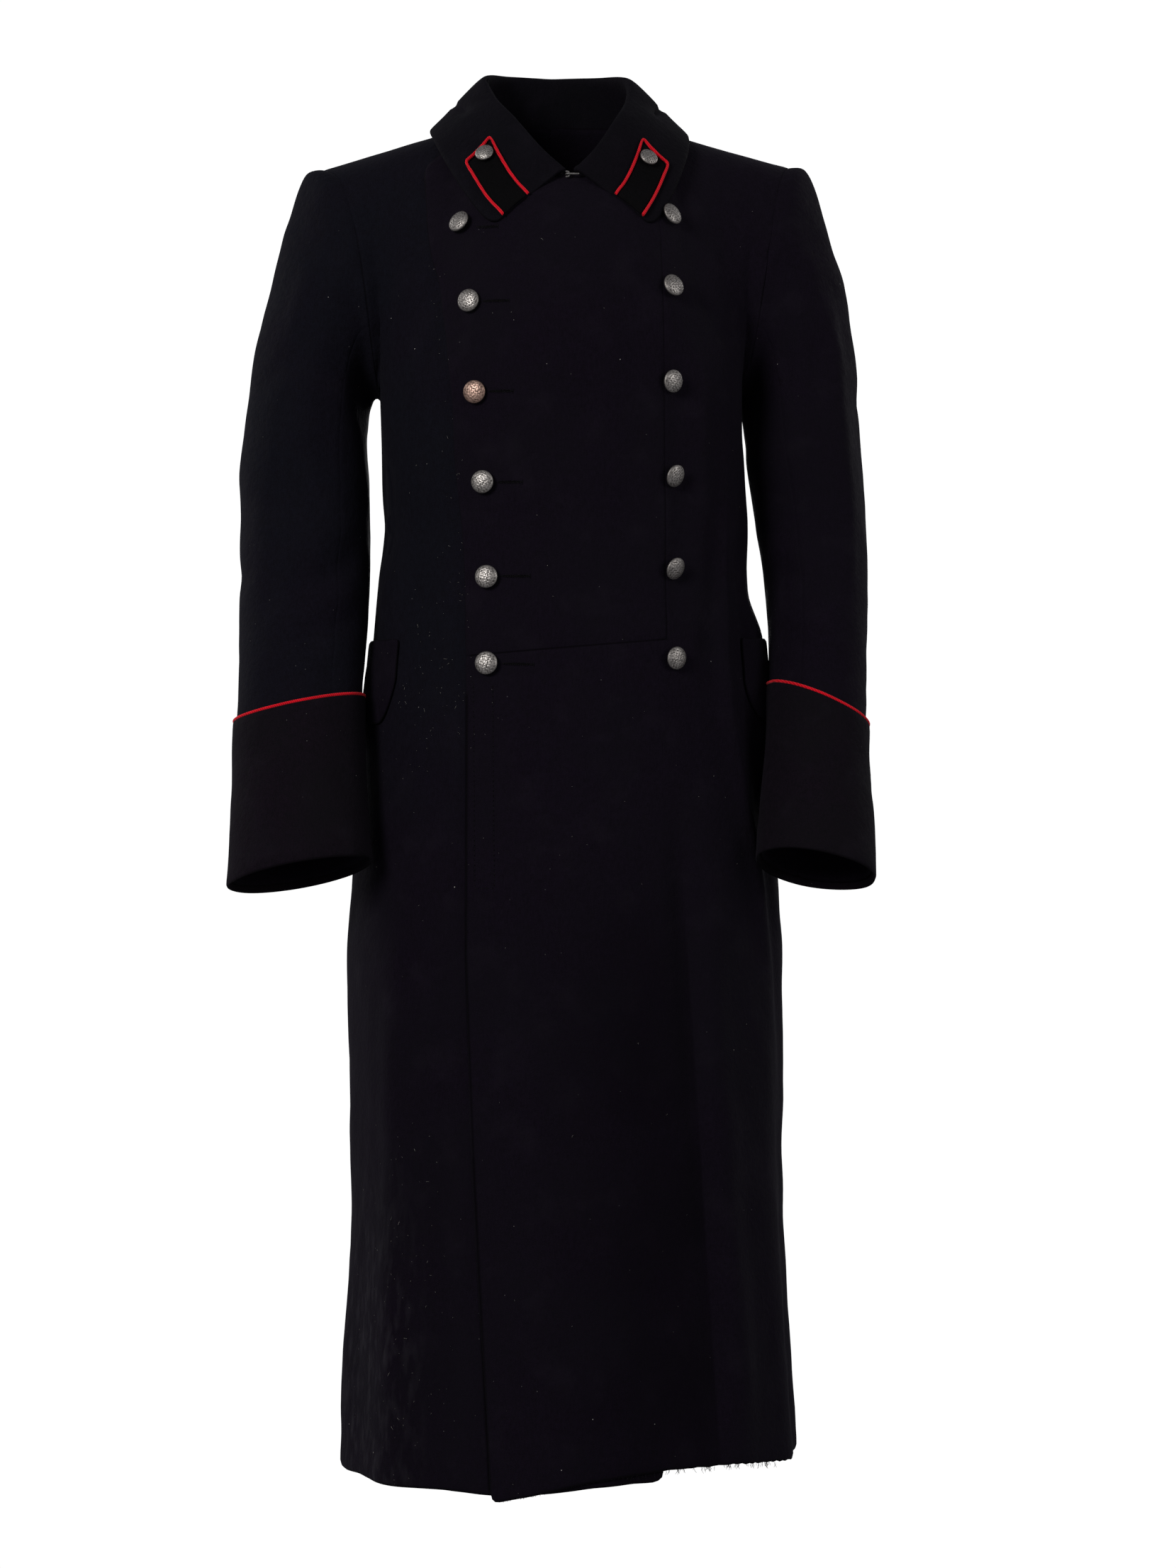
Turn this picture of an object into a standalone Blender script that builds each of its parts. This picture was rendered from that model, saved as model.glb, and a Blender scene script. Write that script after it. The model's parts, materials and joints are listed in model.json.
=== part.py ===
"""A double-breasted military greatcoat in heavy black cloth, worn, with nobody inside it.

Metres, +Z up. The coat faces -Y and +X is the wearer's left. The origin lies at the base of
the neck, between the shoulders that carry the coat. Every cloth piece is a wall of real
thickness: a smooth surface gives its inner face, and the outer face lies one thickness further
out along the surface's own normals.
"""

import math
from collections import namedtuple

import bmesh
import bpy
import numpy as np
from mathutils import Vector
from mathutils.bvhtree import BVHTree

# Cloth and the room between pieces
CLOTH = 0.0026
SEAM = 0.0003
LAYER_AIR = 0.0010
COLLAR_CLOTH = 0.0030
COLLAR_AIR = 0.0019
STEP = 0.004

# Main lines of the body
UNDERARM = -0.235
SIDE_SEAM_BACK = 12.0
WAIST_SHARE = 0.62
NECK_SHARE = 0.45
NECK_POINT = np.array([0.078, 0.012, 0.0065])
SHOULDER_POINTS = {1.0: np.array([0.2110, 0.020, -0.0265]), -1.0: np.array([0.2085, 0.020, -0.0335])}
THROAT = np.array([0.0, -0.078, -0.052])
NAPE = np.array([0.0, 0.066, 0.016])
THROAT_ARRIVAL = np.array([0.0, 0.15, 0.15])
NAPE_ARRIVAL = np.array([0.0, -0.14, 0.17])
SHOULDER_ARRIVAL = 0.22
SHOULDER_SPREAD = 0.10
CLIMB = 0.20
ARMHOLE_BOW = 0.30

# Front opening: the wearer's left front lies over the right one
OVERLAP_EDGE = ((-1.180, -0.0815), (-1.078, -0.0850), (-0.989, -0.0900), (-0.810, -0.0957),
                (-0.662, -0.0961), (-0.573, -0.0936), (-0.470, -0.0921), (-0.380, -0.0943),
                (-0.308, -0.0997), (-0.242, -0.1051), (-0.182, -0.1106), (-0.116, -0.1173),
                (-0.050, -0.1190))
UNDER_EDGE = 0.060
PLASTRON_SEAM = 0.0735
PLASTRON_DROP = 0.26
PLASTRON_CORNER = 0.012
PLASTRON_LAST_ROW = 0.035
LIFT_FADE = 0.055

# Counts of cells, which set how round the walls are
ROWS_SKIRT = 11
ROWS_WAIST = 4
ROWS_CHEST = 9
COLUMNS_UNDER = 20
COLUMNS_OVERLAP = 11
COLUMNS_SIDE = 14
COLUMNS_BACK = 14
SLEEVE_COLUMNS = 2 * ROWS_CHEST

Ring = namedtuple("Ring", "height half_width front back squareness")
BODY = (
    Ring(-1.190, 0.2050, 0.177, 0.187, 2.10),
    Ring(-1.100, 0.2000, 0.172, 0.181, 2.10),
    Ring(-1.030, 0.1960, 0.168, 0.175, 2.10),
    Ring(-0.950, 0.1925, 0.164, 0.168, 2.10),
    Ring(-0.850, 0.1930, 0.159, 0.160, 2.12),
    Ring(-0.760, 0.1940, 0.155, 0.153, 2.14),
    Ring(-0.700, 0.1925, 0.152, 0.148, 2.15),
    Ring(-0.600, 0.1830, 0.147, 0.139, 2.16),
    Ring(-0.520, 0.1745, 0.142, 0.130, 2.18),
    Ring(-0.440, 0.1670, 0.135, 0.119, 2.20),
    Ring(-0.370, 0.1610, 0.131, 0.112, 2.22),
    Ring(-0.320, 0.1600, 0.132, 0.113, 2.24),
    Ring(-0.270, 0.1600, 0.135, 0.118, 2.25),
    Ring(-0.235, 0.1605, 0.136, 0.121, 2.25),
    Ring(-0.200, 0.1610, 0.137, 0.123, 2.25),
)

# The waist stands a little to the wearer's left of the shoulders
WAIST_SHIFT = 0.0035
WAIST_SHIFT_HEIGHT = -0.350
WAIST_SHIFT_SPREAD = 0.040

# Soft folds of the skirt: each starts at a height and grows to the hem. Angles run from the
# wearer's left side (0) by the front (90) and the right side (180) to the back (270).
Fold = namedtuple("Fold", "name start angle_top angle_hem spread depth")
FOLDS = (
    Fold("crease beside the overlap", -0.54, 63.0, 55.0, 11.0, 0.0090),
    Fold("hollow beside the crease", -0.60, 78.0, 73.0, 9.0, -0.0050),
    Fold("left hip ridge", -0.62, 38.0, 30.0, 9.0, 0.0060),
    Fold("left hip hollow", -0.46, 22.0, 14.0, 9.0, -0.0060),
    Fold("overlap roll", -0.70, 100.0, 104.0, 12.0, 0.0050),
    Fold("right front hollow", -0.66, 127.0, 128.0, 10.0, -0.0055),
    Fold("right front ridge", -0.62, 146.0, 143.0, 10.0, 0.0070),
    Fold("right side hollow", -0.70, 168.0, 164.0, 10.0, -0.0045),
    Fold("right back flute", -0.56, 216.0, 220.0, 12.0, 0.0140),
    Fold("right back hollow", -0.60, 238.0, 240.0, 11.0, -0.0100),
    Fold("centre back flute", -0.52, 262.0, 259.0, 12.0, 0.0130),
    Fold("left back hollow", -0.58, 284.0, 282.0, 11.0, -0.0110),
    Fold("left back flute", -0.54, 306.0, 304.0, 12.0, 0.0140),
    Fold("left side hollow", -0.66, 334.0, 332.0, 10.0, -0.0070),
)

# Hem heights across the front, by distance from the middle
Hem = namedtuple("Hem", "across height")
HEM_LEVEL = -1.172
HEM_OVER = (Hem(-0.20, -1.176), Hem(-0.085, -1.176), Hem(0.0, -1.156), Hem(0.05, -1.149),
            Hem(0.11, -1.148), Hem(0.16, -1.158), Hem(0.21, -1.172))
HEM_UNDER = (Hem(-0.21, -1.172), Hem(-0.08, -1.170), Hem(0.07, -1.155), Hem(0.21, -1.155))
WAIST_LINE = (Hem(-0.21, -0.468), Hem(-0.09, -0.4675), Hem(0.07, -0.4545), Hem(0.21, -0.4545))

# Sleeves, as rings from the upper arm to the wrist
Arm = namedtuple("Arm", "share out forward height half_width half_depth tilt")
ARMS = {
    "right": (
        Arm(1.00, 0.2255, 0.010, -0.285, 0.0545, 0.060, 0.0),
        Arm(1.16, 0.2270, 0.007, -0.345, 0.0560, 0.057, 3.0),
        Arm(1.35, 0.2295, -0.008, -0.415, 0.0570, 0.053, 9.0),
        Arm(1.55, 0.2340, -0.034, -0.490, 0.0545, 0.050, 15.0),
        Arm(1.77, 0.2355, -0.060, -0.570, 0.0560, 0.048, 16.0),
        Arm(2.00, 0.2370, -0.089, -0.661, 0.0610, 0.047, 16.0),
    ),
    "left": (
        Arm(1.00, 0.2205, 0.010, -0.285, 0.0510, 0.062, 0.0),
        Arm(1.16, 0.2260, 0.004, -0.345, 0.0475, 0.060, 3.0),
        Arm(1.35, 0.2265, -0.016, -0.415, 0.0440, 0.056, 9.0),
        Arm(1.55, 0.2200, -0.045, -0.490, 0.0425, 0.051, 16.0),
        Arm(1.77, 0.2125, -0.077, -0.570, 0.0440, 0.047, 19.0),
        Arm(2.00, 0.2045, -0.115, -0.661, 0.0500, 0.045, 20.0),
    ),
}
HAND = {"left": 1.0, "right": -1.0}
HEAD_ROWS = (0.0, 0.05, 0.12, 0.22, 0.36, 0.52, 0.70, 0.86)
FOREARM_ROWS = 9
SLEEVE_BACK_OFF = 0.015
END_SLANT = 0.025
FRONT_SEAM = 3
BACK_SEAM = 14
HEAD_LEAVE = 0.44
HEAD_ARRIVE = 0.75
LEAST_LEAVE = 0.066
LEAST_ARRIVE = 0.080
UNDERARM_OUT = 0.046
HEAD_ROLL = 0.0062
HEAD_ROLL_AT = 0.075

# Turned-back cuffs
CUFF_TOP = 1.610
CUFF_SLOPE = {"right": 0.030, "left": 0.055}
CUFF_DIP = 0.020
CUFF_AIR = 0.0007
CUFF_ROWS = 5
PIPING = 0.0016

# Collar, from the middle of the back to the front end
Fallen = namedtuple("Fallen", "share roll_x roll_y roll_z edge_x edge_y edge_z")
COLLAR = (
    Fallen(0.00, 0.000, 0.062, 0.061, 0.000, 0.092, 0.006),
    Fallen(0.22, 0.037, 0.050, 0.060, 0.064, 0.074, 0.007),
    Fallen(0.45, 0.064, 0.008, 0.051, 0.110, 0.012, 0.005),
    Fallen(0.60, 0.060, -0.026, 0.027, 0.112, -0.030, -0.012),
    Fallen(0.75, 0.046, -0.056, 0.004, 0.100, -0.062, -0.038),
    Fallen(0.88, 0.026, -0.078, -0.022, 0.084, -0.086, -0.068),
    Fallen(1.00, 0.006, -0.089, -0.041, 0.067, -0.104, -0.092),
)
COLLAR_STATIONS = (*np.linspace(0.0, 0.95, 19), 0.975, 0.990, 1.0)
TIP_START = 0.935
TIP_ROUND = 0.12
STAND_ROWS = (0.0, 0.5, 0.82)
FALL_ROWS = (0.0, 0.14, 0.32, 0.55, 0.78, 1.0)
ROLL_PULL = 0.020
COLLAR_END = 0.035

# Collar tabs: corners as (across, height) seen from the front, and the piping round them
TAB_CLOTH = 0.0012
TAB_AIR = 0.0010
TAB_PIPING = 0.0015
TAB_MARGIN = 0.09
TAB_CELLS_LONG = 6
TAB_CELLS_WIDE = 3
TAB_INNER_LOW = (0.0345, -0.071)
TAB_OUTER_LOW = (0.0540, -0.087)
TAB_INNER_TOP = (0.0660, -0.019)
TAB_OUTER_TOP = (0.0840, -0.035)

# Pocket flaps on the hips, half under the arms
FLAP_FRONT = 0.610
FLAP_BACK = 0.975
FLAP_TOP = -0.452
FLAP_DROP = 0.070
FLAP_ROUND = 0.030
FLAP_COLUMNS = 7
FLAP_ROWS = 3

# Hook and eye at the throat, in the gap between the collar's ends
WIRE = 0.0006
HOOK_DEPTH = -0.0880
HOOK_HEIGHT = -0.0435
HOOK_REACH = 0.0067
EYE_REACH = 0.0035

# Buttons, as (across, height) on the cloth
BUTTON_RADIUS = 0.0108
LEFT_BUTTONS = ((0.0855, -0.087), (0.0825, -0.152), (0.0815, -0.233), (0.0814, -0.313),
                (0.0807, -0.392), (0.0800, -0.470))
RIGHT_BUTTONS = ((-0.0935, -0.094), (-0.0890, -0.165), (-0.0863, -0.243), (-0.0791, -0.3195),
                 (-0.0768, -0.4005), (-0.0775, -0.474))
COLLAR_BUTTONS = ((-0.0716, -0.0276), (0.0690, -0.0300))

FRONT, BACK = 1.0, -1.0


def between(table, at):
    """The row of a table at this value of its first column, on a smooth curve through it."""
    keys = [row[0] for row in table]
    at = min(max(at, keys[0]), keys[-1])
    index = min(max(int(np.searchsorted(keys, at)) - 1, 0), len(keys) - 2)
    rows = np.array([row[:] for row in table], float)

    def slope(i):
        low, high = max(i - 1, 0), min(i + 1, len(keys) - 1)
        return (rows[high] - rows[low]) / (keys[high] - keys[low])

    span = keys[index + 1] - keys[index]
    mixed = hermite(rows[index], slope(index) * span, rows[index + 1], slope(index + 1) * span,
                    (at - keys[index]) / span)
    return type(table[0])(*mixed) if hasattr(table[0], "_fields") else tuple(mixed)


def hermite(start, leave, end, arrive, t):
    """A point of the cubic that leaves start and arrives at end with these tangents."""
    return ((2 * t**3 - 3 * t**2 + 1) * start + (t**3 - 2 * t**2 + t) * leave
            + (3 * t**2 - 2 * t**3) * end + (t**3 - t**2) * arrive)


def smooth(t):
    """0 to 1 with level ends."""
    t = min(max(t, 0.0), 1.0)
    return t * t * (3 - 2 * t)


def unit(vector):
    """The vector at length one."""
    return vector / max(float(np.linalg.norm(vector)), 1e-12)


def power(value, exponent):
    """A power that keeps the sign."""
    return math.copysign(abs(value) ** exponent, value)


def fold_height(height, angle):
    """How far the folds carry the skirt out at this place."""
    out = 0.0
    for fold in FOLDS:
        grown = smooth((fold.start - height) / (fold.start - HEM_LEVEL))
        middle = fold.angle_top + (fold.angle_hem - fold.angle_top) * grown
        away = (angle - middle + 180.0) % 360.0 - 180.0
        out += fold.depth * grown * math.exp(-((away / fold.spread) ** 2))
    return out


def ring(height, angle):
    """A point of the body's inner face below the underarm."""
    size = between(BODY, height)
    turn = math.radians(angle)
    flat = 2.0 / size.squareness
    depth = size.front if math.sin(turn) >= 0 else size.back
    wide = size.half_width - CLOTH
    deep = depth - CLOTH
    x = wide * power(math.cos(turn), flat)
    y = -deep * power(math.sin(turn), flat)
    out = unit(np.array([x / wide**2, y / deep**2, 0.0]))
    shift = WAIST_SHIFT * math.exp(-(((height - WAIST_SHIFT_HEIGHT) / WAIST_SHIFT_SPREAD) ** 2))
    return np.array([x + shift, y, height]) + out * fold_height(height, angle)


def angle_of(across, face):
    """The angle round the body, from the share across the front or the back."""
    if face == FRONT:
        return -SIDE_SEAM_BACK + (1.0 - across) / 2.0 * (180.0 + 2.0 * SIDE_SEAM_BACK)
    return -SIDE_SEAM_BACK - (1.0 - across) / 2.0 * (180.0 - 2.0 * SIDE_SEAM_BACK)


def top_edge(across, face):
    """A point of the shoulder seam or the neckline, and the way the cloth arrives there."""
    share, hand = abs(across), math.copysign(1.0, across)
    mirror = np.array([hand, 1.0, 1.0])
    arrival = np.array([0.0, face * SHOULDER_ARRIVAL, 0.0])
    if share >= NECK_SHARE:
        t = (share - NECK_SHARE) / (1.0 - NECK_SHARE)
        point = NECK_POINT + (SHOULDER_POINTS[hand] - NECK_POINT) * t
        arrival[0] = SHOULDER_SPREAD * t * t
        return point * mirror, arrival * mirror
    turn = share / NECK_SHARE * math.pi / 2
    low, middle = (THROAT, THROAT_ARRIVAL) if face == FRONT else (NAPE, NAPE_ARRIVAL)
    rise = 1.0 - math.cos(turn)
    point = low + (NECK_POINT - low) * rise
    point[0] = NECK_POINT[0] * math.sin(turn)
    return point * mirror, middle + (arrival - middle) * rise


def body_point(across, up, face, hem):
    """A point of the body's inner face: up runs 0 at the hem, WAIST_SHARE at the waist seam,
    1 at the underarm and 2 at the shoulder seam or the neckline."""
    angle = angle_of(across, face)
    if up <= 1.0:
        reach = 0.19 * math.cos(math.radians(angle))
        low = HEM_LEVEL if hem is None else between(hem, reach).height
        waist = between(WAIST_LINE, reach).height
        if up < WAIST_SHARE:
            height = low + (waist - low) * up / WAIST_SHARE
        else:
            height = waist + (UNDERARM - waist) * (up - WAIST_SHARE) / (1.0 - WAIST_SHARE)
        return ring(height, angle)
    start = ring(UNDERARM, angle)
    side = min(abs(across), 1.0)
    climb = (start - ring(UNDERARM - STEP, angle)) / STEP * CLIMB * (1.0 - 0.75 * side**6)
    inward = unit(ring(UNDERARM, angle_of(across * 0.98, face)) - start) if side > 0.01 else 0.0
    end, arrival = top_edge(across, face)
    return hermite(start, climb + inward * ARMHOLE_BOW * side**5, end, arrival, up - 1.0)


def body_normal(across, up, face, hem):
    """The outward normal of the body's surface."""
    high = min(up + STEP, 2.0)
    low = max(high - 2 * STEP, 0.0)
    wide = (body_point(across + STEP, up, face, hem) - body_point(across - STEP, up, face, hem))
    tall = body_point(across, high, face, hem) - body_point(across, low, face, hem)
    return unit(np.cross(wide, tall)) * face


def across_at(x, up, face, hem):
    """The share across at which the surface stands at this x."""
    low, high = -0.97, 0.97
    for _ in range(26):
        middle = (low + high) / 2
        if body_point(middle, up, face, hem)[0] < x:
            low = middle
        else:
            high = middle
    return (low + high) / 2


def lift_at(x):
    """How far the overlapping front stands off, falling to nothing past the edge beneath."""
    return (CLOTH + LAYER_AIR) * (1.0 - smooth((x - UNDER_EDGE - 0.006) / LIFT_FADE))


def both_faces(spots, face, hem, lifted):
    """Inner and outer grids of a body panel from its rows of (across, up)."""
    inner, outer = [], []
    for row in spots:
        inside, outside = [], []
        for across, up in row:
            point = body_point(across, up, face, hem)
            normal = body_normal(across, up, face, hem)
            lift = lift_at(point[0]) if lifted else 0.0
            inside.append(point + normal * lift)
            outside.append(point + normal * (lift + CLOTH))
        inner.append(inside)
        outer.append(outside)
    return np.array(inner), np.array(outer)


def seam_shifts(keep, closed):
    """For each grid point, which way its row and its column move to open half a seam."""
    rows, columns = keep.shape
    shifts = {}
    for r in range(rows + 1):
        for c in range(columns if closed else columns + 1):
            found = {}
            for dr in (-1, 0):
                for dc in (-1, 0):
                    column = (c + dc) % columns if closed else c + dc
                    inside = 0 <= r + dr < rows and 0 <= column < columns
                    found[dr, dc] = bool(inside and keep[r + dr, column])
            up = found[0, -1] + found[0, 0] - found[-1, -1] - found[-1, 0]
            right = found[-1, 0] + found[0, 0] - found[-1, -1] - found[0, -1]
            shifts[r, c] = (int(np.sign(up)), int(np.sign(right)), any(found.values()))
    return shifts


def rim(shape, corner, a, b):
    """The cut edge of the cloth between two grid points, split the same way on both sides of
    a seam: from the outer face's lower point to the inner face's higher one."""
    loop = [corner[(1, *b)], corner[(1, *a)], corner[(0, *a)], corner[(0, *b)]]
    if loop[1].co.z <= loop[0].co.z:
        loop = loop[1:] + loop[:1]
    shape.faces.new((loop[0], loop[1], loop[2]))
    shape.faces.new((loop[0], loop[2], loop[3]))


def cloth(name, inner, outer, material, keep=None, closed=False):
    """A wall of cloth between two grids, with its rims, half a seam back from its edges."""
    rows, points = inner.shape[0] - 1, inner.shape[1]
    columns = points if closed else points - 1
    keep = np.ones((rows, columns), bool) if keep is None else keep
    shifts = seam_shifts(keep, closed)
    shape = bmesh.new()
    corner = {}
    for layer, grid in enumerate((inner, outer)):
        for (r, c), (up, right, used) in shifts.items():
            if not used:
                continue
            here = grid[r, c].copy()
            if up:
                here += unit(grid[r + up, c] - grid[r, c]) * SEAM / 2
            if right and not closed:
                here += unit(grid[r, c + right] - grid[r, c]) * SEAM / 2
            corner[layer, r, c] = shape.verts.new(here)
    sides = {}
    for r in range(rows):
        for c in range(columns):
            if not keep[r, c]:
                continue
            loop = ((r, c), (r, (c + 1) % points), (r + 1, (c + 1) % points), (r + 1, c))
            shape.faces.new([corner[(1, *spot)] for spot in loop])
            shape.faces.new([corner[(0, *spot)] for spot in reversed(loop)])
            for a, b in zip(loop, loop[1:] + loop[:1]):
                sides[a, b] = True
    for a, b in sides:
        if (b, a) not in sides:
            rim(shape, corner, a, b)
    bmesh.ops.recalc_face_normals(shape, faces=shape.faces)
    return finish(name, shape, material)


def finish(name, shape, material):
    """Turns a bmesh into an object of the coat."""
    mesh = bpy.data.meshes.new(name)
    shape.to_mesh(mesh)
    shape.free()
    made = bpy.data.objects.new(name, mesh)
    made.data.materials.append(material)
    coat.objects.link(made)
    mesh.shade_smooth()
    mesh.set_sharp_from_angle(angle=math.radians(40))
    return made


def paint(name, colour, roughness, metallic=0.0):
    """A plain material."""
    made = bpy.data.materials.new(name)
    made.use_nodes = True
    made.diffuse_color = (*colour, 1.0)
    surface = made.node_tree.nodes["Principled BSDF"]
    surface.inputs["Base Color"].default_value = (*colour, 1.0)
    surface.inputs["Roughness"].default_value = roughness
    surface.inputs["Metallic"].default_value = metallic
    return made


def heights():
    """The rows of a body panel from hem to top, as shares."""
    skirt = [WAIST_SHARE * i / ROWS_SKIRT for i in range(ROWS_SKIRT)]
    waist = [WAIST_SHARE + (1 - WAIST_SHARE) * i / ROWS_WAIST for i in range(ROWS_WAIST)]
    chest = [1.0 + i / ROWS_CHEST for i in range(ROWS_CHEST + 1)]
    return skirt + waist + chest


def edge_across(up, hem):
    """The share across of the overlap's free edge."""
    x = -0.119
    for _ in range(3):
        height = body_point(across_at(x, up, FRONT, hem), up, FRONT, hem)[2]
        x = between(OVERLAP_EDGE, height)[1]
    return across_at(x, up, FRONT, hem)


def make_right_front(material):
    """The front beneath, from the right side seam to its hidden edge."""
    spots = []
    for up in heights():
        hidden = across_at(UNDER_EDGE, up, FRONT, HEM_UNDER)
        shares = np.linspace(-1.0, hidden, COLUMNS_UNDER + 1)
        spots.append([(across, up) for across in shares])
    return cloth("front_right", *both_faces(spots, FRONT, HEM_UNDER, False), material)


def make_left_front(material):
    """The front on top: its side part runs from hem to shoulder, and its skirt crosses over."""
    spots = []
    seam_low = across_at(PLASTRON_SEAM, WAIST_SHARE, FRONT, HEM_OVER)
    for up in heights():
        seam = seam_low if up < WAIST_SHARE else across_at(PLASTRON_SEAM, up, FRONT, HEM_OVER)
        free = edge_across(up, HEM_OVER) if up <= 1.0 else seam - 0.3
        across = [free + (seam - free) * i / COLUMNS_OVERLAP for i in range(COLUMNS_OVERLAP)]
        across += list(np.linspace(seam, 1.0, COLUMNS_SIDE + 1))
        spots.append([(share, up) for share in across])
    keep = np.ones((len(spots) - 1, COLUMNS_OVERLAP + COLUMNS_SIDE), bool)
    keep[ROWS_SKIRT:, :COLUMNS_OVERLAP] = False
    grids = both_faces(spots, FRONT, HEM_OVER, True)
    return cloth("front_left", *grids, material, keep)


def make_plastron(material):
    """The chest panel over the front, from the waist seam to the collar."""
    rows = heights()[ROWS_SKIRT:]
    rows = rows[:-1] + [rows[-1] - PLASTRON_LAST_ROW, rows[-1]]
    spots = []
    for up in rows:
        risen = (up - WAIST_SHARE) / (2.0 - WAIST_SHARE)
        edge_up = WAIST_SHARE + risen * (2.0 - PLASTRON_DROP - WAIST_SHARE)
        free = edge_across(edge_up, HEM_OVER)
        seam = across_at(PLASTRON_SEAM, up, FRONT, HEM_OVER)
        near_top = max(0.0, 1.0 - (rows[-1] - up) / 0.07)
        free += PLASTRON_CORNER * 6.0 * (1.0 - math.sqrt(1.0 - near_top**2))
        row = []
        for i in range(COLUMNS_OVERLAP + 1):
            across = free + (seam - free) * i / COLUMNS_OVERLAP
            drop = PLASTRON_DROP * smooth((-across - 0.18) / 0.42)
            row.append((across, WAIST_SHARE + risen * (2.0 - drop - WAIST_SHARE)))
        spots.append(row)
    grids = both_faces(spots, FRONT, HEM_OVER, True)
    part = 1.0 - PLASTRON_LAST_ROW * ROWS_CHEST
    for grid in grids:
        grid[-2, -1] = grid[-3, -1] + (grid[-1, -1] - grid[-3, -1]) * part
    return cloth("plastron", *grids, material)


def make_back(name, first, last, material):
    """One half of the back, from its side seam to the seam down the middle."""
    shares = np.linspace(first, last, COLUMNS_BACK + 1)
    spots = [[(across, up) for across in shares] for up in heights()]
    return cloth(name, *both_faces(spots, BACK, None, False), material)


def arm_point(side, column, share):
    """A point of the sleeve's inner face below the upper arm, on the wearer's left."""
    size = between(ARMS[side], share)
    turn = 2 * math.pi * column / SLEEVE_COLUMNS
    tilt = math.radians(size.tilt)
    centre = np.array([size.out, size.forward, size.height])
    inward = np.array([-1.0, 0.0, 0.0]) * (size.half_width - CLOTH) * math.cos(turn)
    ahead = np.array([0.0, -math.cos(tilt), math.sin(tilt)])
    return centre + inward + ahead * (size.half_depth - CLOTH) * math.sin(turn)


def armhole(side, column):
    """The armhole's point, its outward normal and the way out of it, turned to the left side."""
    column %= SLEEVE_COLUMNS
    face = FRONT if column <= ROWS_CHEST else BACK
    rows = column if face == FRONT else SLEEVE_COLUMNS - column
    up = 1.0 + rows / ROWS_CHEST
    hem = HEM_OVER if face == FRONT else None
    hand = HAND[side]
    turned = np.array([hand, 1.0, 1.0])
    point = body_point(hand, up, face, hem) * turned
    normal = body_normal(hand, up, face, hem) * turned
    high, low = min(up + STEP, 2.0), max(min(up + STEP, 2.0) - 2 * STEP, 1.0)
    edge = (body_point(hand, high, face, hem) - body_point(hand, low, face, hem)) * turned
    return point, normal, unit(np.cross(edge, normal)) * face


def sleeve_point(side, column, share):
    """A point of the sleeve's inner face: share runs 0 at the armhole, 1 at the upper arm
    and 2 at the wrist."""
    if share >= 1.0:
        return arm_point(side, column, share)
    low = int(math.floor(column))
    part = column - low
    start, normal, leave = armhole(side, low)
    if part > 0:
        next_start, next_normal, next_leave = armhole(side, low + 1)
        start = start + (next_start - start) * part
        normal = unit(normal + (next_normal - normal) * part)
        leave = unit(leave + (next_leave - leave) * part)
    end = arm_point(side, column, 1.0)
    down = unit(arm_point(side, column, 1.02) - end)
    apart = float(np.linalg.norm(end - start))
    turn = 2 * math.pi * column / SLEEVE_COLUMNS
    beneath = max(0.0, math.cos(turn)) ** 2
    out = np.array([UNDERARM_OUT * beneath, 0.0, 0.0])
    full = max(0.0, 0.35 - 0.65 * math.cos(turn)) * share / HEAD_ROLL_AT
    roll = unit(normal + leave) * HEAD_ROLL * full * math.exp(1.0 - share / HEAD_ROLL_AT)
    return roll + hermite(start, leave * max(HEAD_LEAVE * apart, LEAST_LEAVE) + out, end,
                          down * max(HEAD_ARRIVE * apart, LEAST_ARRIVE), share)


def sleeve_normal(side, column, share):
    """The outward normal of the sleeve. At the armhole it is the body's own."""
    if share == 0.0:
        return armhole(side, column)[1]
    around = sleeve_point(side, column + 0.5, share) - sleeve_point(side, column - 0.5, share)
    length = (sleeve_point(side, column, min(share + 0.01, 2.0))
              - sleeve_point(side, column, share - 0.01))
    return unit(np.cross(length, around))


def sleeve_grid(side, columns, shares_of, air=0.0):
    """Inner and outer grids over a sleeve, moved out by some air and set on its side."""
    inner, outer = [], []
    mirror = np.array([HAND[side], 1.0, 1.0])
    for row in range(len(shares_of(0))):
        inside, outside = [], []
        for column in columns:
            share = shares_of(column)[row]
            point = sleeve_point(side, column, share)
            normal = sleeve_normal(side, column, share)
            inside.append((point + normal * air) * mirror)
            outside.append((point + normal * (air + CLOTH)) * mirror)
        inner.append(inside)
        outer.append(outside)
    return np.array(inner), np.array(outer)


def mouth(column):
    """The share along the sleeve of its slanted mouth, which is higher on the body's side."""
    return 2.0 - END_SLANT * (1.0 + math.cos(2 * math.pi * column / SLEEVE_COLUMNS))


def make_sleeves(material):
    """Each sleeve in two pieces: a wide upper one and a narrower one beneath."""

    def shares(column):
        return list(HEAD_ROWS) + list(np.linspace(1.0, mouth(column) - SLEEVE_BACK_OFF, FOREARM_ROWS + 1))

    for side in HAND:
        upper = range(FRONT_SEAM, BACK_SEAM + 1)
        under = range(BACK_SEAM, SLEEVE_COLUMNS + FRONT_SEAM + 1)
        for name, columns in (("sleeve_upper_", upper), ("sleeve_under_", under)):
            grids = sleeve_grid(side, columns, shares)
            cloth(name + side, *grids, material)


def cuff_top(side, column):
    """The share along the sleeve of the cuff's sloping top edge."""
    turn = 2 * math.pi * column / SLEEVE_COLUMNS
    return CUFF_TOP - CUFF_SLOPE[side] * math.cos(turn) + CUFF_DIP * math.sin(turn)


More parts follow.
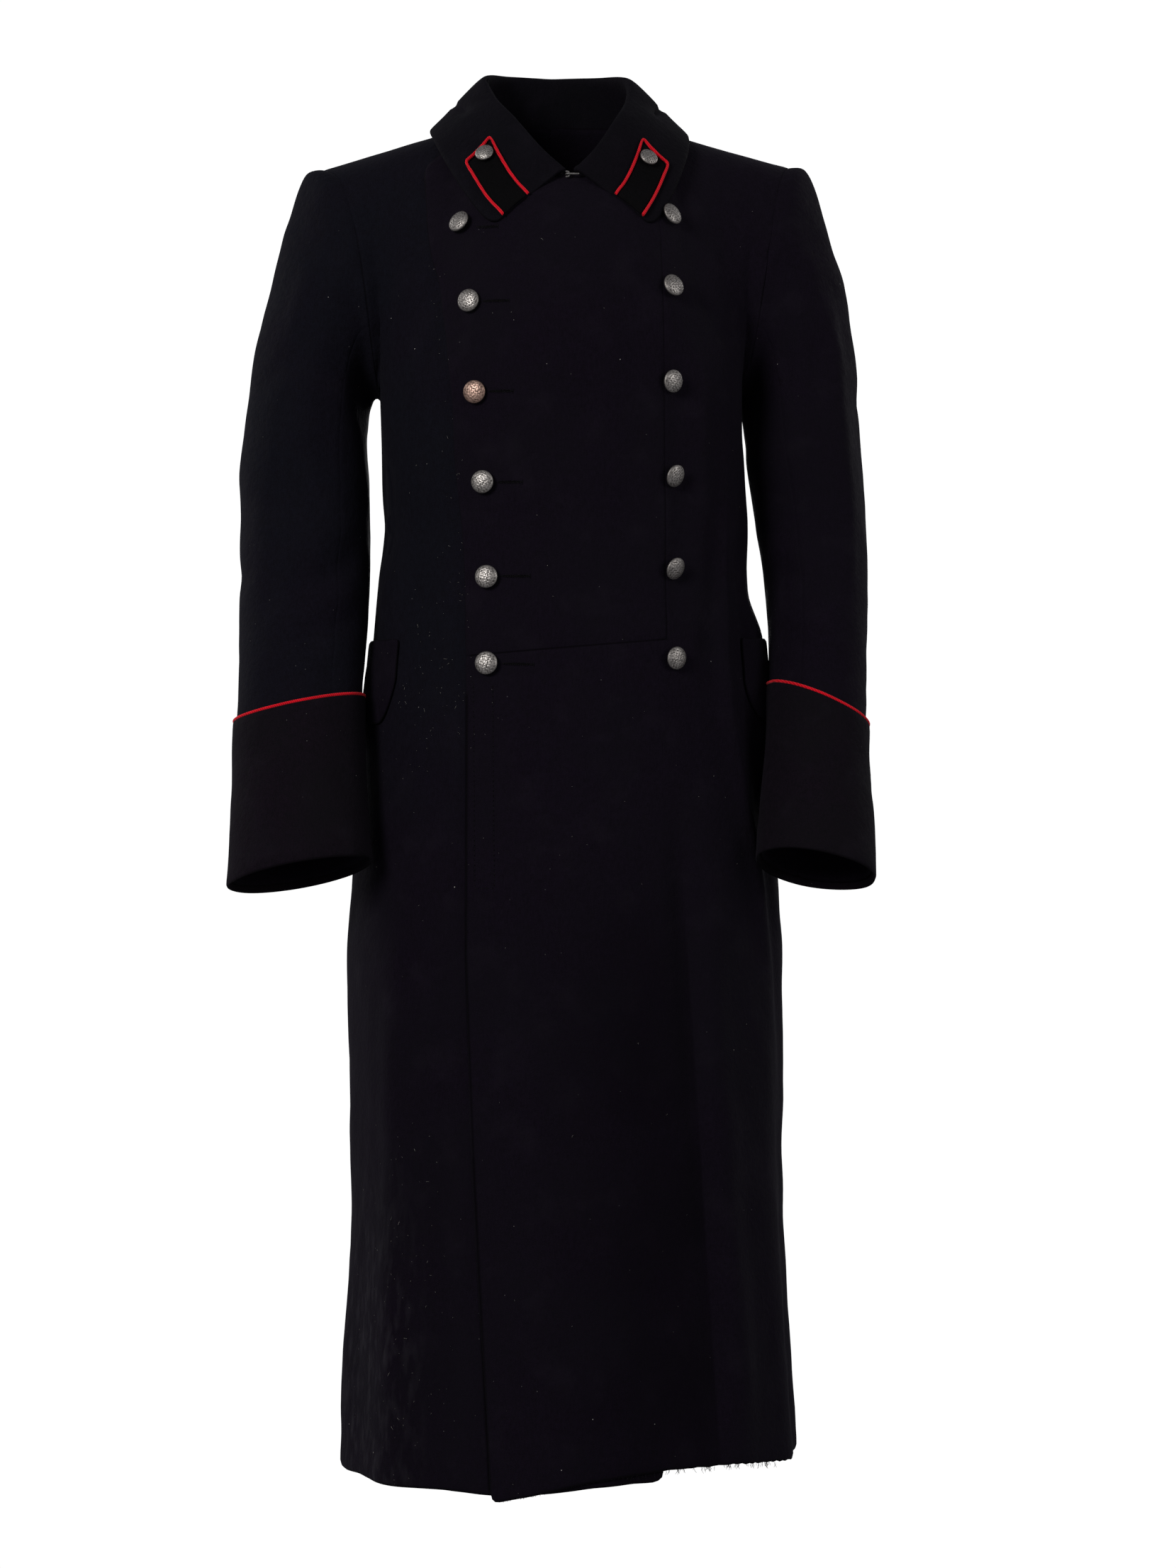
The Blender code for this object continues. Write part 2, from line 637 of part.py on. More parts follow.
def make_cuffs(material, red):
    """The deep turned-back cuffs and the red piping in their top seams."""
    air = CLOTH + CUFF_AIR
    for side in HAND:

        def shares(column, side=side):
            return list(np.linspace(cuff_top(side, column), mouth(column), CUFF_ROWS + 1))

        grids = sleeve_grid(side, range(SLEEVE_COLUMNS), shares, air)
        cloth("cuff_" + side, *grids, material, closed=True)
        above = (PIPING + SEAM) / (ARMS[side][0].height - ARMS[side][-1].height)
        route = []
        for step in range(SLEEVE_COLUMNS):
            share = cuff_top(side, step) - above
            point = sleeve_point(side, step, share)
            out = sleeve_normal(side, step, share) * (CLOTH + PIPING + SEAM * 2)
            route.append((point + out) * np.array([HAND[side], 1.0, 1.0]))
        cord("cuff_piping_" + side, route, PIPING, red, cyclic=True)


def cord(name, route, radius, material, cyclic=False, sides=1):
    """A round cord or wire along a route."""
    curve = bpy.data.curves.new(name, "CURVE")
    curve.dimensions = "3D"
    curve.bevel_depth = radius
    curve.bevel_resolution = sides
    curve.use_fill_caps = not cyclic
    line = curve.splines.new("POLY")
    line.points.add(len(route) - 1)
    for spot, point in zip(line.points, route):
        spot.co = (*point, 1.0)
    line.use_cyclic_u = cyclic
    made = bpy.data.objects.new(name, curve)
    curve.materials.append(material)
    coat.objects.link(made)
    return made


def tree_of(objects):
    """One search tree over the cloth that something is to lie on."""
    points, faces = [], []
    for item in objects:
        base = len(points)
        points += [vertex.co.copy() for vertex in item.data.vertices]
        faces += [[base + index for index in face.vertices] for face in item.data.polygons]
    return BVHTree.FromPolygons(points, faces)


def clear_of(point, tree, room):
    """The point moved out along the cloth's normal until it clears the cloth."""
    near, normal, _, _ = tree.find_nearest(Vector(point))
    height = (Vector(point) - near).dot(normal)
    if height >= room or (Vector(point) - near).length > 0.05:
        return point
    return np.array(Vector(point) + normal * (room - height))


def neck_seam(share):
    """The collar's seam on the neckline, from the middle of the back (0) to the throat (1)."""
    if share <= COLLAR[2].share:
        across = NECK_SHARE * share / COLLAR[2].share
        face, hem = BACK, None
    else:
        part = (share - COLLAR[2].share) / (1.0 - COLLAR[2].share)
        across = NECK_SHARE + (COLLAR_END - NECK_SHARE) * part
        face, hem = FRONT, HEM_OVER
    over = smooth((share - COLLAR[1].share) / (COLLAR[2].share - COLLAR[1].share))
    point = body_point(across, 2.0, face, hem)
    normal = body_normal(max(across, 0.001), 2.0, face, hem)
    room = CLOTH + SEAM * 3 + over * (CLOTH + LAYER_AIR + SEAM * 2) + COLLAR_CLOTH * 0.5
    return point + normal * room


def collar_path(share, along):
    """The middle of the collar's wall: along runs 0 at the neck seam, 1 at the roll and 2 at
    the outer edge, on the wearer's left."""
    row = between(COLLAR, share)
    seam = neck_seam(share)
    roll = np.array([row.roll_x, row.roll_y, row.roll_z])
    edge = np.array([row.edge_x, row.edge_y, row.edge_z])
    over = edge - roll
    over[2] = 0.0
    over = unit(over) * ROLL_PULL
    if along <= 1.0:
        return hermite(seam, (roll - seam) * 1.1, roll, over, along)
    return hermite(roll, over, edge, (edge - roll) * 0.9, along - 1.0)


def collar_spot(share, along, hand, tree):
    """A point of the collar's middle and its normal, clear of the coat beneath."""

    def placed(s, a):
        point = collar_path(s, a) * np.array([hand, 1.0, 1.0])
        if a > 0.1:
            point = clear_of(point, tree, COLLAR_CLOTH / 2 + COLLAR_AIR)
        return point

    high_s, high_a = min(share + 0.01, 1.0), min(along + 0.02, 2.0)
    wide = placed(high_s, along) - placed(high_s - 0.02, along)
    tall = placed(share, high_a) - placed(share, max(high_a - 0.04, 0.0))
    return placed(share, along), unit(np.cross(wide, tall)) * hand


def make_collar(material, tree):
    """The stand-and-fall collar, one folded wall from end to end."""
    alongs = list(STAND_ROWS) + [1.0 + row for row in FALL_ROWS]
    stations = [(share, -1.0) for share in reversed(COLLAR_STATIONS[1:])]
    stations += [(share, 1.0) for share in COLLAR_STATIONS]
    inner, outer = [], []
    for along in alongs:
        inside, outside = [], []
        for share, hand in stations:
            near_end = max(0.0, (share - TIP_START) / (1.0 - TIP_START))
            short = TIP_ROUND * (1.0 - math.sqrt(1.0 - near_end**2))
            reach = along - short * max(0.0, along - 1.0)
            point, normal = collar_spot(share, reach, hand, tree)
            inside.append(point - normal * COLLAR_CLOTH / 2)
            outside.append(point + normal * COLLAR_CLOTH / 2)
        inner.append(inside)
        outer.append(outside)
    return cloth("collar", np.array(inner), np.array(outer), material)


def collar_find(x, z, tree):
    """The share and the run along the collar's fall at this x and height."""
    share, along = 0.85, 1.55
    for _ in range(7):
        here = collar_spot(share, along, 1.0, tree)[0]
        by_share = (collar_spot(share - 0.02, along, 1.0, tree)[0] - here) / -0.02
        by_along = (collar_spot(share, along - 0.03, 1.0, tree)[0] - here) / -0.03
        slopes = np.array([[by_share[0], by_along[0]], [by_share[2], by_along[2]]])
        step = np.linalg.solve(slopes, np.array([x - here[0], z - here[2]]))
        share = min(max(share + float(step[0]), 0.5), 1.0)
        along = min(max(along + float(step[1]), 1.05), 1.97)
    return np.array([share, along])


def make_tab(side, corners, cloth_finish, red, tree):
    """A tab sewn on the collar's fall, with piping along its two sides and its slanted end."""
    inner_low, outer_low, inner_top, outer_top = corners
    hand = HAND[side]

    def on_tab(long, wide, height):
        low = inner_low + (outer_low - inner_low) * wide
        high = inner_top + (outer_top - inner_top) * wide
        share, along = low + (high - low) * long
        middle, normal = collar_spot(min(share, 1.0), min(along, 2.0), hand, tree)
        return middle + normal * (COLLAR_CLOTH / 2 + height), normal

    inner, outer = [], []
    for i in range(TAB_CELLS_LONG + 1):
        inside, outside = [], []
        for j in range(TAB_CELLS_WIDE + 1):
            point, normal = on_tab(i / TAB_CELLS_LONG, j / TAB_CELLS_WIDE, TAB_AIR)
            inside.append(point)
            outside.append(point + normal * TAB_CLOTH)
        inner.append(inside)
        outer.append(outside)
    tab = cloth("collar_tab_" + side, np.array(inner), np.array(outer), cloth_finish)
    low, high, end = -TAB_MARGIN, 1.0 + TAB_MARGIN, 1.0 + TAB_MARGIN / 2
    path = [(i / 8, low) for i in range(8)] + [(end, low + (high - low) * i / 4) for i in range(5)]
    path += [(1.0 - (i + 1) / 8, high) for i in range(8)]
    room = TAB_PIPING + TAB_AIR
    route = [on_tab(long, wide, room)[0] for long, wide in path]
    cord("tab_piping_" + side, route, TAB_PIPING, red)
    return tab


def make_tabs(cloth_finish, red, tree):
    """Both collar tabs."""
    places = (TAB_INNER_LOW, TAB_OUTER_LOW, TAB_INNER_TOP, TAB_OUTER_TOP)
    corners = [collar_find(x, z, tree) for x, z in places]
    return [make_tab(side, corners, cloth_finish, red, tree) for side in HAND]


def make_flaps(material):
    """The pocket flaps, on points of the front panels moved out."""
    for side, hand in HAND.items():
        inner, outer = [], []
        for row in range(FLAP_ROWS + 1):
            inside, outside = [], []
            for column in range(FLAP_COLUMNS + 1):
                part = column / FLAP_COLUMNS
                across = FLAP_FRONT + (FLAP_BACK - FLAP_FRONT) * part
                corner = 1.0 - math.sqrt(1.0 - max(0.0, 1.0 - part * 3.0) ** 2)
                height = FLAP_TOP - (FLAP_DROP - FLAP_ROUND * corner) * row / FLAP_ROWS
                angle = angle_of(across * hand, FRONT)
                point = ring(height, angle)
                wide = ring(height, angle - 1.0) - ring(height, angle + 1.0)
                tall = ring(height + STEP, angle) - ring(height - STEP, angle)
                normal = unit(np.cross(wide, tall))
                inside.append(point + normal * (CLOTH + SEAM * 2))
                outside.append(point + normal * (CLOTH * 2 + SEAM * 2))
            inner.append(inside)
            outer.append(outside)
        cloth("pocket_flap_" + side, np.array(inner), np.array(outer), material)


def make_hook_and_eye(metal):
    """A bent wire hook from the left collar end, passed through a wire eye on the right one."""
    half = 0.0020
    turn = [math.radians(angle) for angle in range(-90, 91, 30)]
    loop = [(-0.0024 + half * math.cos(a), HOOK_DEPTH, HOOK_HEIGHT + half * math.sin(a))
            for a in turn]
    eye = [(-EYE_REACH, HOOK_DEPTH, HOOK_HEIGHT - half), *loop,
           (-EYE_REACH, HOOK_DEPTH, HOOK_HEIGHT + half)]
    cord("collar_eye", eye, WIRE, metal)
    curl = 0.0021
    bend = [(-0.0018 - curl * math.cos(a) * 0.8, HOOK_DEPTH + curl * math.sin(a), HOOK_HEIGHT)
            for a in turn]
    hook = [(HOOK_REACH, HOOK_DEPTH - curl, HOOK_HEIGHT), *bend]
    cord("collar_hook", hook, WIRE, metal)


def button_profile():
    """Radius and height of a domed button down its outer side, from the dome to the shank."""
    r = BUTTON_RADIUS
    return ((0.0, 0.0088), (r * 0.5, 0.0081), (r * 0.86, 0.0062), (r, 0.0038),
            (r * 0.92, 0.0030), (r * 0.30, 0.0026), (r * 0.30, SEAM), (0.0, SEAM))


def make_button(name, place, normal, material, scale=1.0):
    """A domed metal button on its shank, turned round the cloth's normal."""
    mesh = bpy.data.meshes.new(name)
    shape = bmesh.new()
    corners = [shape.verts.new((x * scale, 0.0, z * scale)) for x, z in button_profile()]
    for a, b in zip(corners, corners[1:]):
        shape.edges.new((a, b))
    shape.to_mesh(mesh)
    shape.free()
    made = bpy.data.objects.new(name, mesh)
    made.data.materials.append(material)
    turned = made.modifiers.new("turn", "SCREW")
    turned.axis = "Z"
    turned.steps = turned.render_steps = 12
    turned.use_merge_vertices = True
    turned.merge_threshold = 0.00005
    made.location = place
    made.rotation_mode = "QUATERNION"
    made.rotation_quaternion = Vector(normal).to_track_quat("Z", "Y")
    coat.objects.link(made)
    return made


def seen_from_front(x, z, tree):
    """Where a line from the front at this x and height meets the cloth, with its normal."""
    place, normal, _, _ = tree.ray_cast(Vector((x, -1.0, z)), Vector((0.0, 1.0, 0.0)))
    return place, normal


def make_buttons(pewter, brass, front_tree, tab_tree):
    """Two rows of six down the front and one on each collar tab."""
    rows = (("button_left_", LEFT_BUTTONS), ("button_right_", RIGHT_BUTTONS))
    for name, places in rows:
        for number, (x, z) in enumerate(places, 1):
            place, normal = seen_from_front(x, z, front_tree)
            metal = brass if (name, number) == ("button_right_", 3) else pewter
            make_button(f"{name}{number}", place, normal, metal)
    for side, (x, z) in zip(("right", "left"), COLLAR_BUTTONS):
        place, normal = seen_from_front(x, z, tab_tree)
        make_button("button_collar_" + side, place, normal, pewter, 0.82)


coat = bpy.data.collections.new("greatcoat")


def main():
    """Clears the scene and builds the coat."""
    for item in list(bpy.data.objects):
        bpy.data.objects.remove(item)
    bpy.context.scene.collection.children.link(coat)
    wool = paint("black_wool", (0.012, 0.010, 0.014), 0.9)
    velvet = paint("black_velvet", (0.006, 0.005, 0.007), 1.0)
    steel = paint("dark_steel", (0.10, 0.10, 0.10), 0.4, 1.0)
    red = paint("red_piping", (0.55, 0.01, 0.02), 0.8)
    pewter = paint("pewter", (0.30, 0.29, 0.28), 0.45, 1.0)
    brass = paint("brass", (0.42, 0.27, 0.13), 0.45, 1.0)
    panels = [make_right_front(wool), make_left_front(wool), make_plastron(wool),
              make_back("back_left", 1.0, 0.0, wool), make_back("back_right", 0.0, -1.0, wool)]
    make_sleeves(wool)
    make_cuffs(wool, red)
    body = tree_of(panels)
    make_collar(wool, body)
    tabs = make_tabs(velvet, red, body)
    make_buttons(pewter, brass, body, tree_of(tabs))
    make_flaps(wool)
    make_hook_and_eye(steel)


main()
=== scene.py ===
"""The looks of a military greatcoat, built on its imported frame.

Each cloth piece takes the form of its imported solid, rounded at its edges and refined. One
displacement, the drape, moves the cloth and all that is sewn on it by the same amount at the
same place, so that the layers stay seated on each other. Buttons, piping, stitching, worked
buttonholes, the hook and eye, the hem's loose fibres and the lint are pieces of their own.
"""

import json
import logging
import math
import random
from collections.abc import Sequence
from dataclasses import dataclass, field
from enum import Enum
from typing import NamedTuple

import bmesh
import bpy
import numpy as np
from mathutils import Matrix, Vector
from mathutils.bvhtree import BVHTree

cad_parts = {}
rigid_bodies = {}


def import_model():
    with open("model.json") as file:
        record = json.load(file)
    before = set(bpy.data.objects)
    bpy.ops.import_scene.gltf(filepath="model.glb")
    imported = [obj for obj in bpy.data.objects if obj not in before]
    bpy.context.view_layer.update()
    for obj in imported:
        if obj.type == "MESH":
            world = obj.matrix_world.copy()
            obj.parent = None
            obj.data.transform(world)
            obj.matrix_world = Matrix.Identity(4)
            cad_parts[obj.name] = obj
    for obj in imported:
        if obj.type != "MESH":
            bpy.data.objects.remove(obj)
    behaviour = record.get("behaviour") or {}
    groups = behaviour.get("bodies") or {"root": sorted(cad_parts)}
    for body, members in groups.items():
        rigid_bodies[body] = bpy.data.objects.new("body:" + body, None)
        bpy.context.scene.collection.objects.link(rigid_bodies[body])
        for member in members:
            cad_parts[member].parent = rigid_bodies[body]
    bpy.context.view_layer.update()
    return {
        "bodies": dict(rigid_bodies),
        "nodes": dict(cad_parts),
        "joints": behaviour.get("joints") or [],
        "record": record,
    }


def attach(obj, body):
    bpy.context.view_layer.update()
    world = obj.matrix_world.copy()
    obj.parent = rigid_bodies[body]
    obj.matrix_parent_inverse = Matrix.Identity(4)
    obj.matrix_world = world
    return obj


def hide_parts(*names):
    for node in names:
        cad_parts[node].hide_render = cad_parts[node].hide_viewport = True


log = logging.getLogger("greatcoat")

MM = 0.001
BODY = "root"


class Face(Enum):
    """The side of the body that a place lies on."""

    FRONT = -1.0
    BACK = 1.0


class Side(Enum):
    """The wearer's side, as the sign of its x."""

    LEFT = 1.0
    RIGHT = -1.0


# Sizes of the body and the sleeves, which carry the drape


class Girth(NamedTuple):
    """The body's outline at one height."""

    height: float
    half_width: float
    front: float
    back: float


GIRTHS = (
    Girth(-1.190, 0.2050, 0.177, 0.187),
    Girth(-1.030, 0.1960, 0.168, 0.175),
    Girth(-0.850, 0.1930, 0.159, 0.160),
    Girth(-0.700, 0.1925, 0.152, 0.148),
    Girth(-0.520, 0.1745, 0.142, 0.130),
    Girth(-0.440, 0.1670, 0.135, 0.119),
    Girth(-0.320, 0.1600, 0.132, 0.113),
    Girth(-0.200, 0.1610, 0.137, 0.123),
    Girth(0.000, 0.1610, 0.130, 0.115),
)


class Limb(NamedTuple):
    """The sleeve's middle at one height, on the wearer's left."""

    height: float
    out: float
    forward: float


LIMBS = {
    Side.RIGHT: (
        Limb(-0.661, 0.2370, -0.089),
        Limb(-0.570, 0.2355, -0.060),
        Limb(-0.490, 0.2340, -0.034),
        Limb(-0.415, 0.2295, -0.008),
        Limb(-0.345, 0.2270, 0.007),
        Limb(-0.285, 0.2255, 0.010),
        Limb(-0.120, 0.2050, 0.018),
    ),
    Side.LEFT: (
        Limb(-0.661, 0.2045, -0.115),
        Limb(-0.570, 0.2125, -0.077),
        Limb(-0.490, 0.2200, -0.045),
        Limb(-0.415, 0.2265, -0.016),
        Limb(-0.345, 0.2260, 0.004),
        Limb(-0.285, 0.2205, 0.010),
        Limb(-0.120, 0.2050, 0.018),
    ),
}


class Crease(NamedTuple):
    """A listed crease. A positive depth is a ridge and a negative one a hollow.

    The route's places are (across, height): across is x on the body, and on a sleeve the turn
    in degrees from its outer side (0) by its front (90) to its inner side (180).
    """

    name: str
    depth_mm: float
    width_mm: float
    route: tuple[tuple[float, float], ...]


FRONT_CREASES = (
    Crease("crease beside the overlap", -6.5, 13,
           ((0.083, -0.56), (0.088, -0.74), (0.096, -0.89), (0.103, -0.99), (0.114, -1.17))),
    Crease("ridge right of that crease", 4.5, 19,
           ((0.108, -0.60), (0.112, -0.80), (0.122, -0.95), (0.138, -1.17))),
    Crease("roll left of that crease", 5.5, 42,
           ((0.000, -0.58), (0.010, -0.80), (0.012, -0.95), (0.020, -1.17))),
    Crease("ridge down the left side", 4.6, 10,
           ((0.135, -0.300), (0.133, -0.513), (0.146, -0.592), (0.1605, -0.667), (0.171, -0.76))),
    Crease("hollow behind that ridge", -4.4, 13,
           ((0.152, -0.30), (0.155, -0.50), (0.166, -0.60), (0.180, -0.72), (0.184, -0.82))),
    Crease("dip along the left buttons", -3.2, 15, ((0.088, -0.18), (0.086, -0.33), (0.084, -0.47))),
    Crease("ridge right of that dip", 2.8, 12, ((0.112, -0.20), (0.110, -0.33), (0.108, -0.45))),
    Crease("fullness of the left hip", 8.6, 42, ((0.190, -0.41), (0.190, -0.60))),
    Crease("fullness of the right hip", 3.5, 26, ((-0.190, -0.46), (-0.190, -0.55))),
    Crease("drawn-in right waist", -4.0, 30, ((-0.190, -0.28), (-0.190, -0.39))),
    Crease("fullness across the chest", 2.0, 45, ((-0.05, -0.20), (0.05, -0.21))),
    Crease("dip in the middle of the chest", -1.6, 22, ((0.040, -0.26), (0.046, -0.40), (0.040, -0.46))),
    Crease("fold from the left shoulder", 1.8, 10, ((0.118, -0.035), (0.128, -0.075), (0.142, -0.120))),
    Crease("hollow below that fold", -2.0, 12, ((0.135, -0.040), (0.146, -0.085), (0.152, -0.130))),
    Crease("pull to the left underarm", -2.6, 12, ((0.105, -0.145), (0.130, -0.175), (0.150, -0.205))),
    Crease("pull to the right underarm", -2.4, 12, ((-0.118, -0.130), (-0.138, -0.165), (-0.152, -0.205))),
    Crease("ridge by the right underarm", 1.8, 9, ((-0.112, -0.155), (-0.130, -0.200), (-0.139, -0.260))),
    Crease("hollow of the right waist", -2.4, 15, ((-0.140, -0.27), (-0.134, -0.36), (-0.142, -0.45))),
    Crease("ridge of the right hip", 2.0, 14, ((-0.128, -0.50), (-0.140, -0.60), (-0.156, -0.74))),
    Crease("right skirt ridge", 4.0, 17,
           ((-0.156, -0.70), (-0.160, -0.85), (-0.163, -1.00), (-0.160, -1.15))),
    Crease("right skirt hollow", -3.6, 17, ((-0.122, -0.72), (-0.126, -0.90), (-0.128, -1.15))),
    Crease("soft roll of the overlap", 1.6, 18, ((-0.060, -0.62), (-0.058, -0.80), (-0.050, -1.14))),
    Crease("dent at the waist", -1.6, 14, ((-0.150, -0.462), (-0.120, -0.474), (-0.100, -0.480))),
    Crease("dent at the left waist", -1.6, 14, ((0.100, -0.458), (0.125, -0.466), (0.152, -0.470))),
)

BACK_CREASES = (
    Crease("fullness of the left hip", 4.0, 42, ((0.190, -0.42), (0.190, -0.55))),
    Crease("right shoulder blade", 2.4, 40, ((-0.075, -0.13), (-0.085, -0.22))),
    Crease("left shoulder blade", 2.4, 40, ((0.075, -0.13), (0.085, -0.22))),
    Crease("hollow down the back", -2.4, 26, ((0.0, -0.16), (0.0, -0.30), (0.0, -0.44))),
    Crease("pull to the right underarm", -2.6, 13, ((-0.100, -0.20), (-0.128, -0.215), (-0.150, -0.225))),
    Crease("pull to the left underarm", -2.6, 13, ((0.102, -0.195), (0.130, -0.212), (0.150, -0.225))),
    Crease("sag across the waist", -2.0, 12, ((-0.110, -0.36), (-0.05, -0.375), (0.0, -0.372))),
    Crease("sag beneath it", -1.8, 13, ((0.02, -0.41), (0.07, -0.405), (0.12, -0.39))),
    Crease("right skirt ridge", 2.6, 16, ((-0.105, -0.62), (-0.112, -0.85), (-0.118, -1.15))),
    Crease("left skirt ridge", 2.6, 16, ((0.100, -0.60), (0.110, -0.85), (0.118, -1.15))),
    Crease("right skirt hollow", -2.4, 18, ((-0.055, -0.66), (-0.060, -0.90), (-0.066, -1.15))),
    Crease("left skirt hollow", -2.4, 18, ((0.050, -0.64), (0.056, -0.90), (0.062, -1.15))),
)

SLEEVE_CREASES = {
    Side.RIGHT: (
        Crease("front of the armhole", -2.2, 9, ((118, -0.115), (112, -0.170), (105, -0.225))),
        Crease("fullness above the elbow", 3.0, 40, ((0, -0.150), (0, -0.250), (0, -0.340))),
        Crease("fold inside the elbow", -3.0, 11, ((150, -0.372), (110, -0.395), (60, -0.418))),
        Crease("ridge over that fold", 2.2, 12, ((145, -0.345), (100, -0.362), (55, -0.388))),
        Crease("lower elbow fold", -2.2, 10, ((155, -0.425), (115, -0.442), (75, -0.458))),
        Crease("ridge between", 1.8, 11, ((150, -0.400), (105, -0.420), (60, -0.438))),
        Crease("long fold of the upper arm", 2.0, 13, ((62, -0.110), (70, -0.200), (80, -0.310))),
        Crease("hollow beside it", -1.8, 13, ((88, -0.140), (98, -0.220), (112, -0.320))),
        Crease("outer break at the elbow", -1.8, 13, ((-30, -0.400), (0, -0.392), (35, -0.402))),
        Crease("dent above the cuff", -1.4, 12, ((40, -0.480), (90, -0.486), (140, -0.482))),
    ),
    Side.LEFT: (
        Crease("front of the armhole", -2.4, 9, ((118, -0.115), (112, -0.170), (105, -0.225))),
        Crease("fullness of the upper arm", 4.2, 42, ((0, -0.100), (0, -0.240))),
        Crease("bright fold down the arm", 2.6, 9,
               ((48, -0.130), (54, -0.220), (58, -0.330), (62, -0.430))),
        Crease("hollow beside it", -2.4, 11, ((78, -0.150), (84, -0.240), (90, -0.340), (92, -0.440))),
        Crease("fold inside the elbow", -2.6, 11, ((160, -0.385), (120, -0.405), (85, -0.422))),
        Crease("ridge over that fold", 2.0, 12, ((158, -0.358), (118, -0.376), (82, -0.396))),
        Crease("lower elbow fold", -2.0, 10, ((160, -0.440), (120, -0.455), (80, -0.466))),
        Crease("outer hollow", -1.8, 13, ((22, -0.180), (20, -0.280), (18, -0.380))),
        Crease("dent above the cuff", -1.4, 12, ((30, -0.486), (80, -0.480), (130, -0.474))),
    ),
}

BOTH_SLEEVES = (
    Crease("back of the elbow", 2.0, 16, ((-60, -0.380), (-70, -0.420))),
    Crease("underarm fold", -2.6, 11, ((172, -0.262), (215, -0.285), (250, -0.300))),
    Crease("soft dent of the cuff", -1.2, 18, ((60, -0.560), (110, -0.580), (150, -0.575))),
    Crease("roll of the cuff's mouth", 1.0, 10, ((20, -0.640), (90, -0.636), (160, -0.628))),
)


def smooth(value: np.ndarray) -> np.ndarray:
    """Eases 0 to 1 with level ends.

    Args:
        value: Numbers, of which those outside 0 to 1 are held at the ends.

    Returns:
        The eased numbers.
    """
    held = np.clip(value, 0.0, 1.0)
    return held * held * (3.0 - 2.0 * held)


def rise(value: np.ndarray, start: float, end: float) -> np.ndarray:
    """Eases from 0 at the start to 1 at the end, which may be the lower of the two."""
    return smooth((value - start) / (end - start))


def unit(vectors: np.ndarray) -> np.ndarray:
    """Scales rows of vectors to length one."""
    length = np.linalg.norm(vectors, axis=-1, keepdims=True)
    return vectors / np.maximum(length, 1e-9)


def linear(code: str) -> tuple[float, float, float, float]:
    """Turns an sRGB hex code into a linear colour.

    Args:
        code: Six hex digits, such as "c81420".

    Returns:
        Red, green, blue and an alpha of one.
    """
    parts = [int(code[i:i + 2], 16) / 255.0 for i in (0, 2, 4)]
    red, green, blue = (c / 12.92 if c <= 0.04045 else ((c + 0.055) / 1.055) ** 2.4 for c in parts)
    return (red, green, blue, 1.0)


# The even waves of the cloth: length and height in millimetres, and how many
WAVES_MM = ((150.0, 0.9, 12), (62.0, 0.45, 16), (26.0, 0.16, 22))
WAVE_LEAN = (1.0, 1.0, 0.55)
WAVE_SPREAD = (0.75, 1.3)

# How square the body is across, and the half width and half depth of a sleeve
SQUARENESS = 2.2
WIDEST_SHARE = 0.985
SLEEVE_ACROSS = 0.049
SLEEVE_DEEP = 0.053

# How far a crease reaches through the cloth, and how it fades in at its ends
REACH_THROUGH = 0.035
FADE_OVER = 0.25
FADE_FROM = 0.15

# The armhole seam as (height, distance from the middle), and what is left of the drape there
ARMHOLE = ((-0.260, 0.172), (-0.220, 0.165), (-0.160, 0.160), (-0.100, 0.175), (-0.030, 0.209))
ARMHOLE_FOOT = (-0.25, -0.30)
CALM_LEFT = 0.12
CALM_REACH = 0.045

# The front hem: its drops as (x, millimetres), and the pitches of its raw edge
HEM_DROPS = ((-0.200, 3.0), (-0.120, 2.5), (-0.085, 0.0), (0.000, -2.0), (0.050, -5.0),
             (0.130, -5.0), (0.190, -2.0))
RAGGED_MM = 0.5
RAGGED_PITCHES = (910.0, 1730.0, 260.0)

# The shoulders, where the cloth is lifted more than pushed out and lies quieter
SHOULDER_FROM = (-0.20, -0.03)
SHOULDER_LIFT = (0.35, 0.25, 1.0)
QUIET_BELOW = (-0.015, -0.065)
QUIET_LEFT = 0.25

# The collar: how its front ends hang, and how it closes on the neck seam at its back and sides
COLLAR_DROP = 0.0075
COLLAR_FALLS = (0.0, -0.22, -1.0)
COLLAR_CLOSER = 0.006
COLLAR_DRAWN = 0.8
COLLAR_FOOT = 0.003
COLLAR_FOOT_GROWS = 0.02
NECK_RING = 0.0675
NECK_RING_GROWS = 0.17
FALL_BEYOND = (0.008, 0.012)


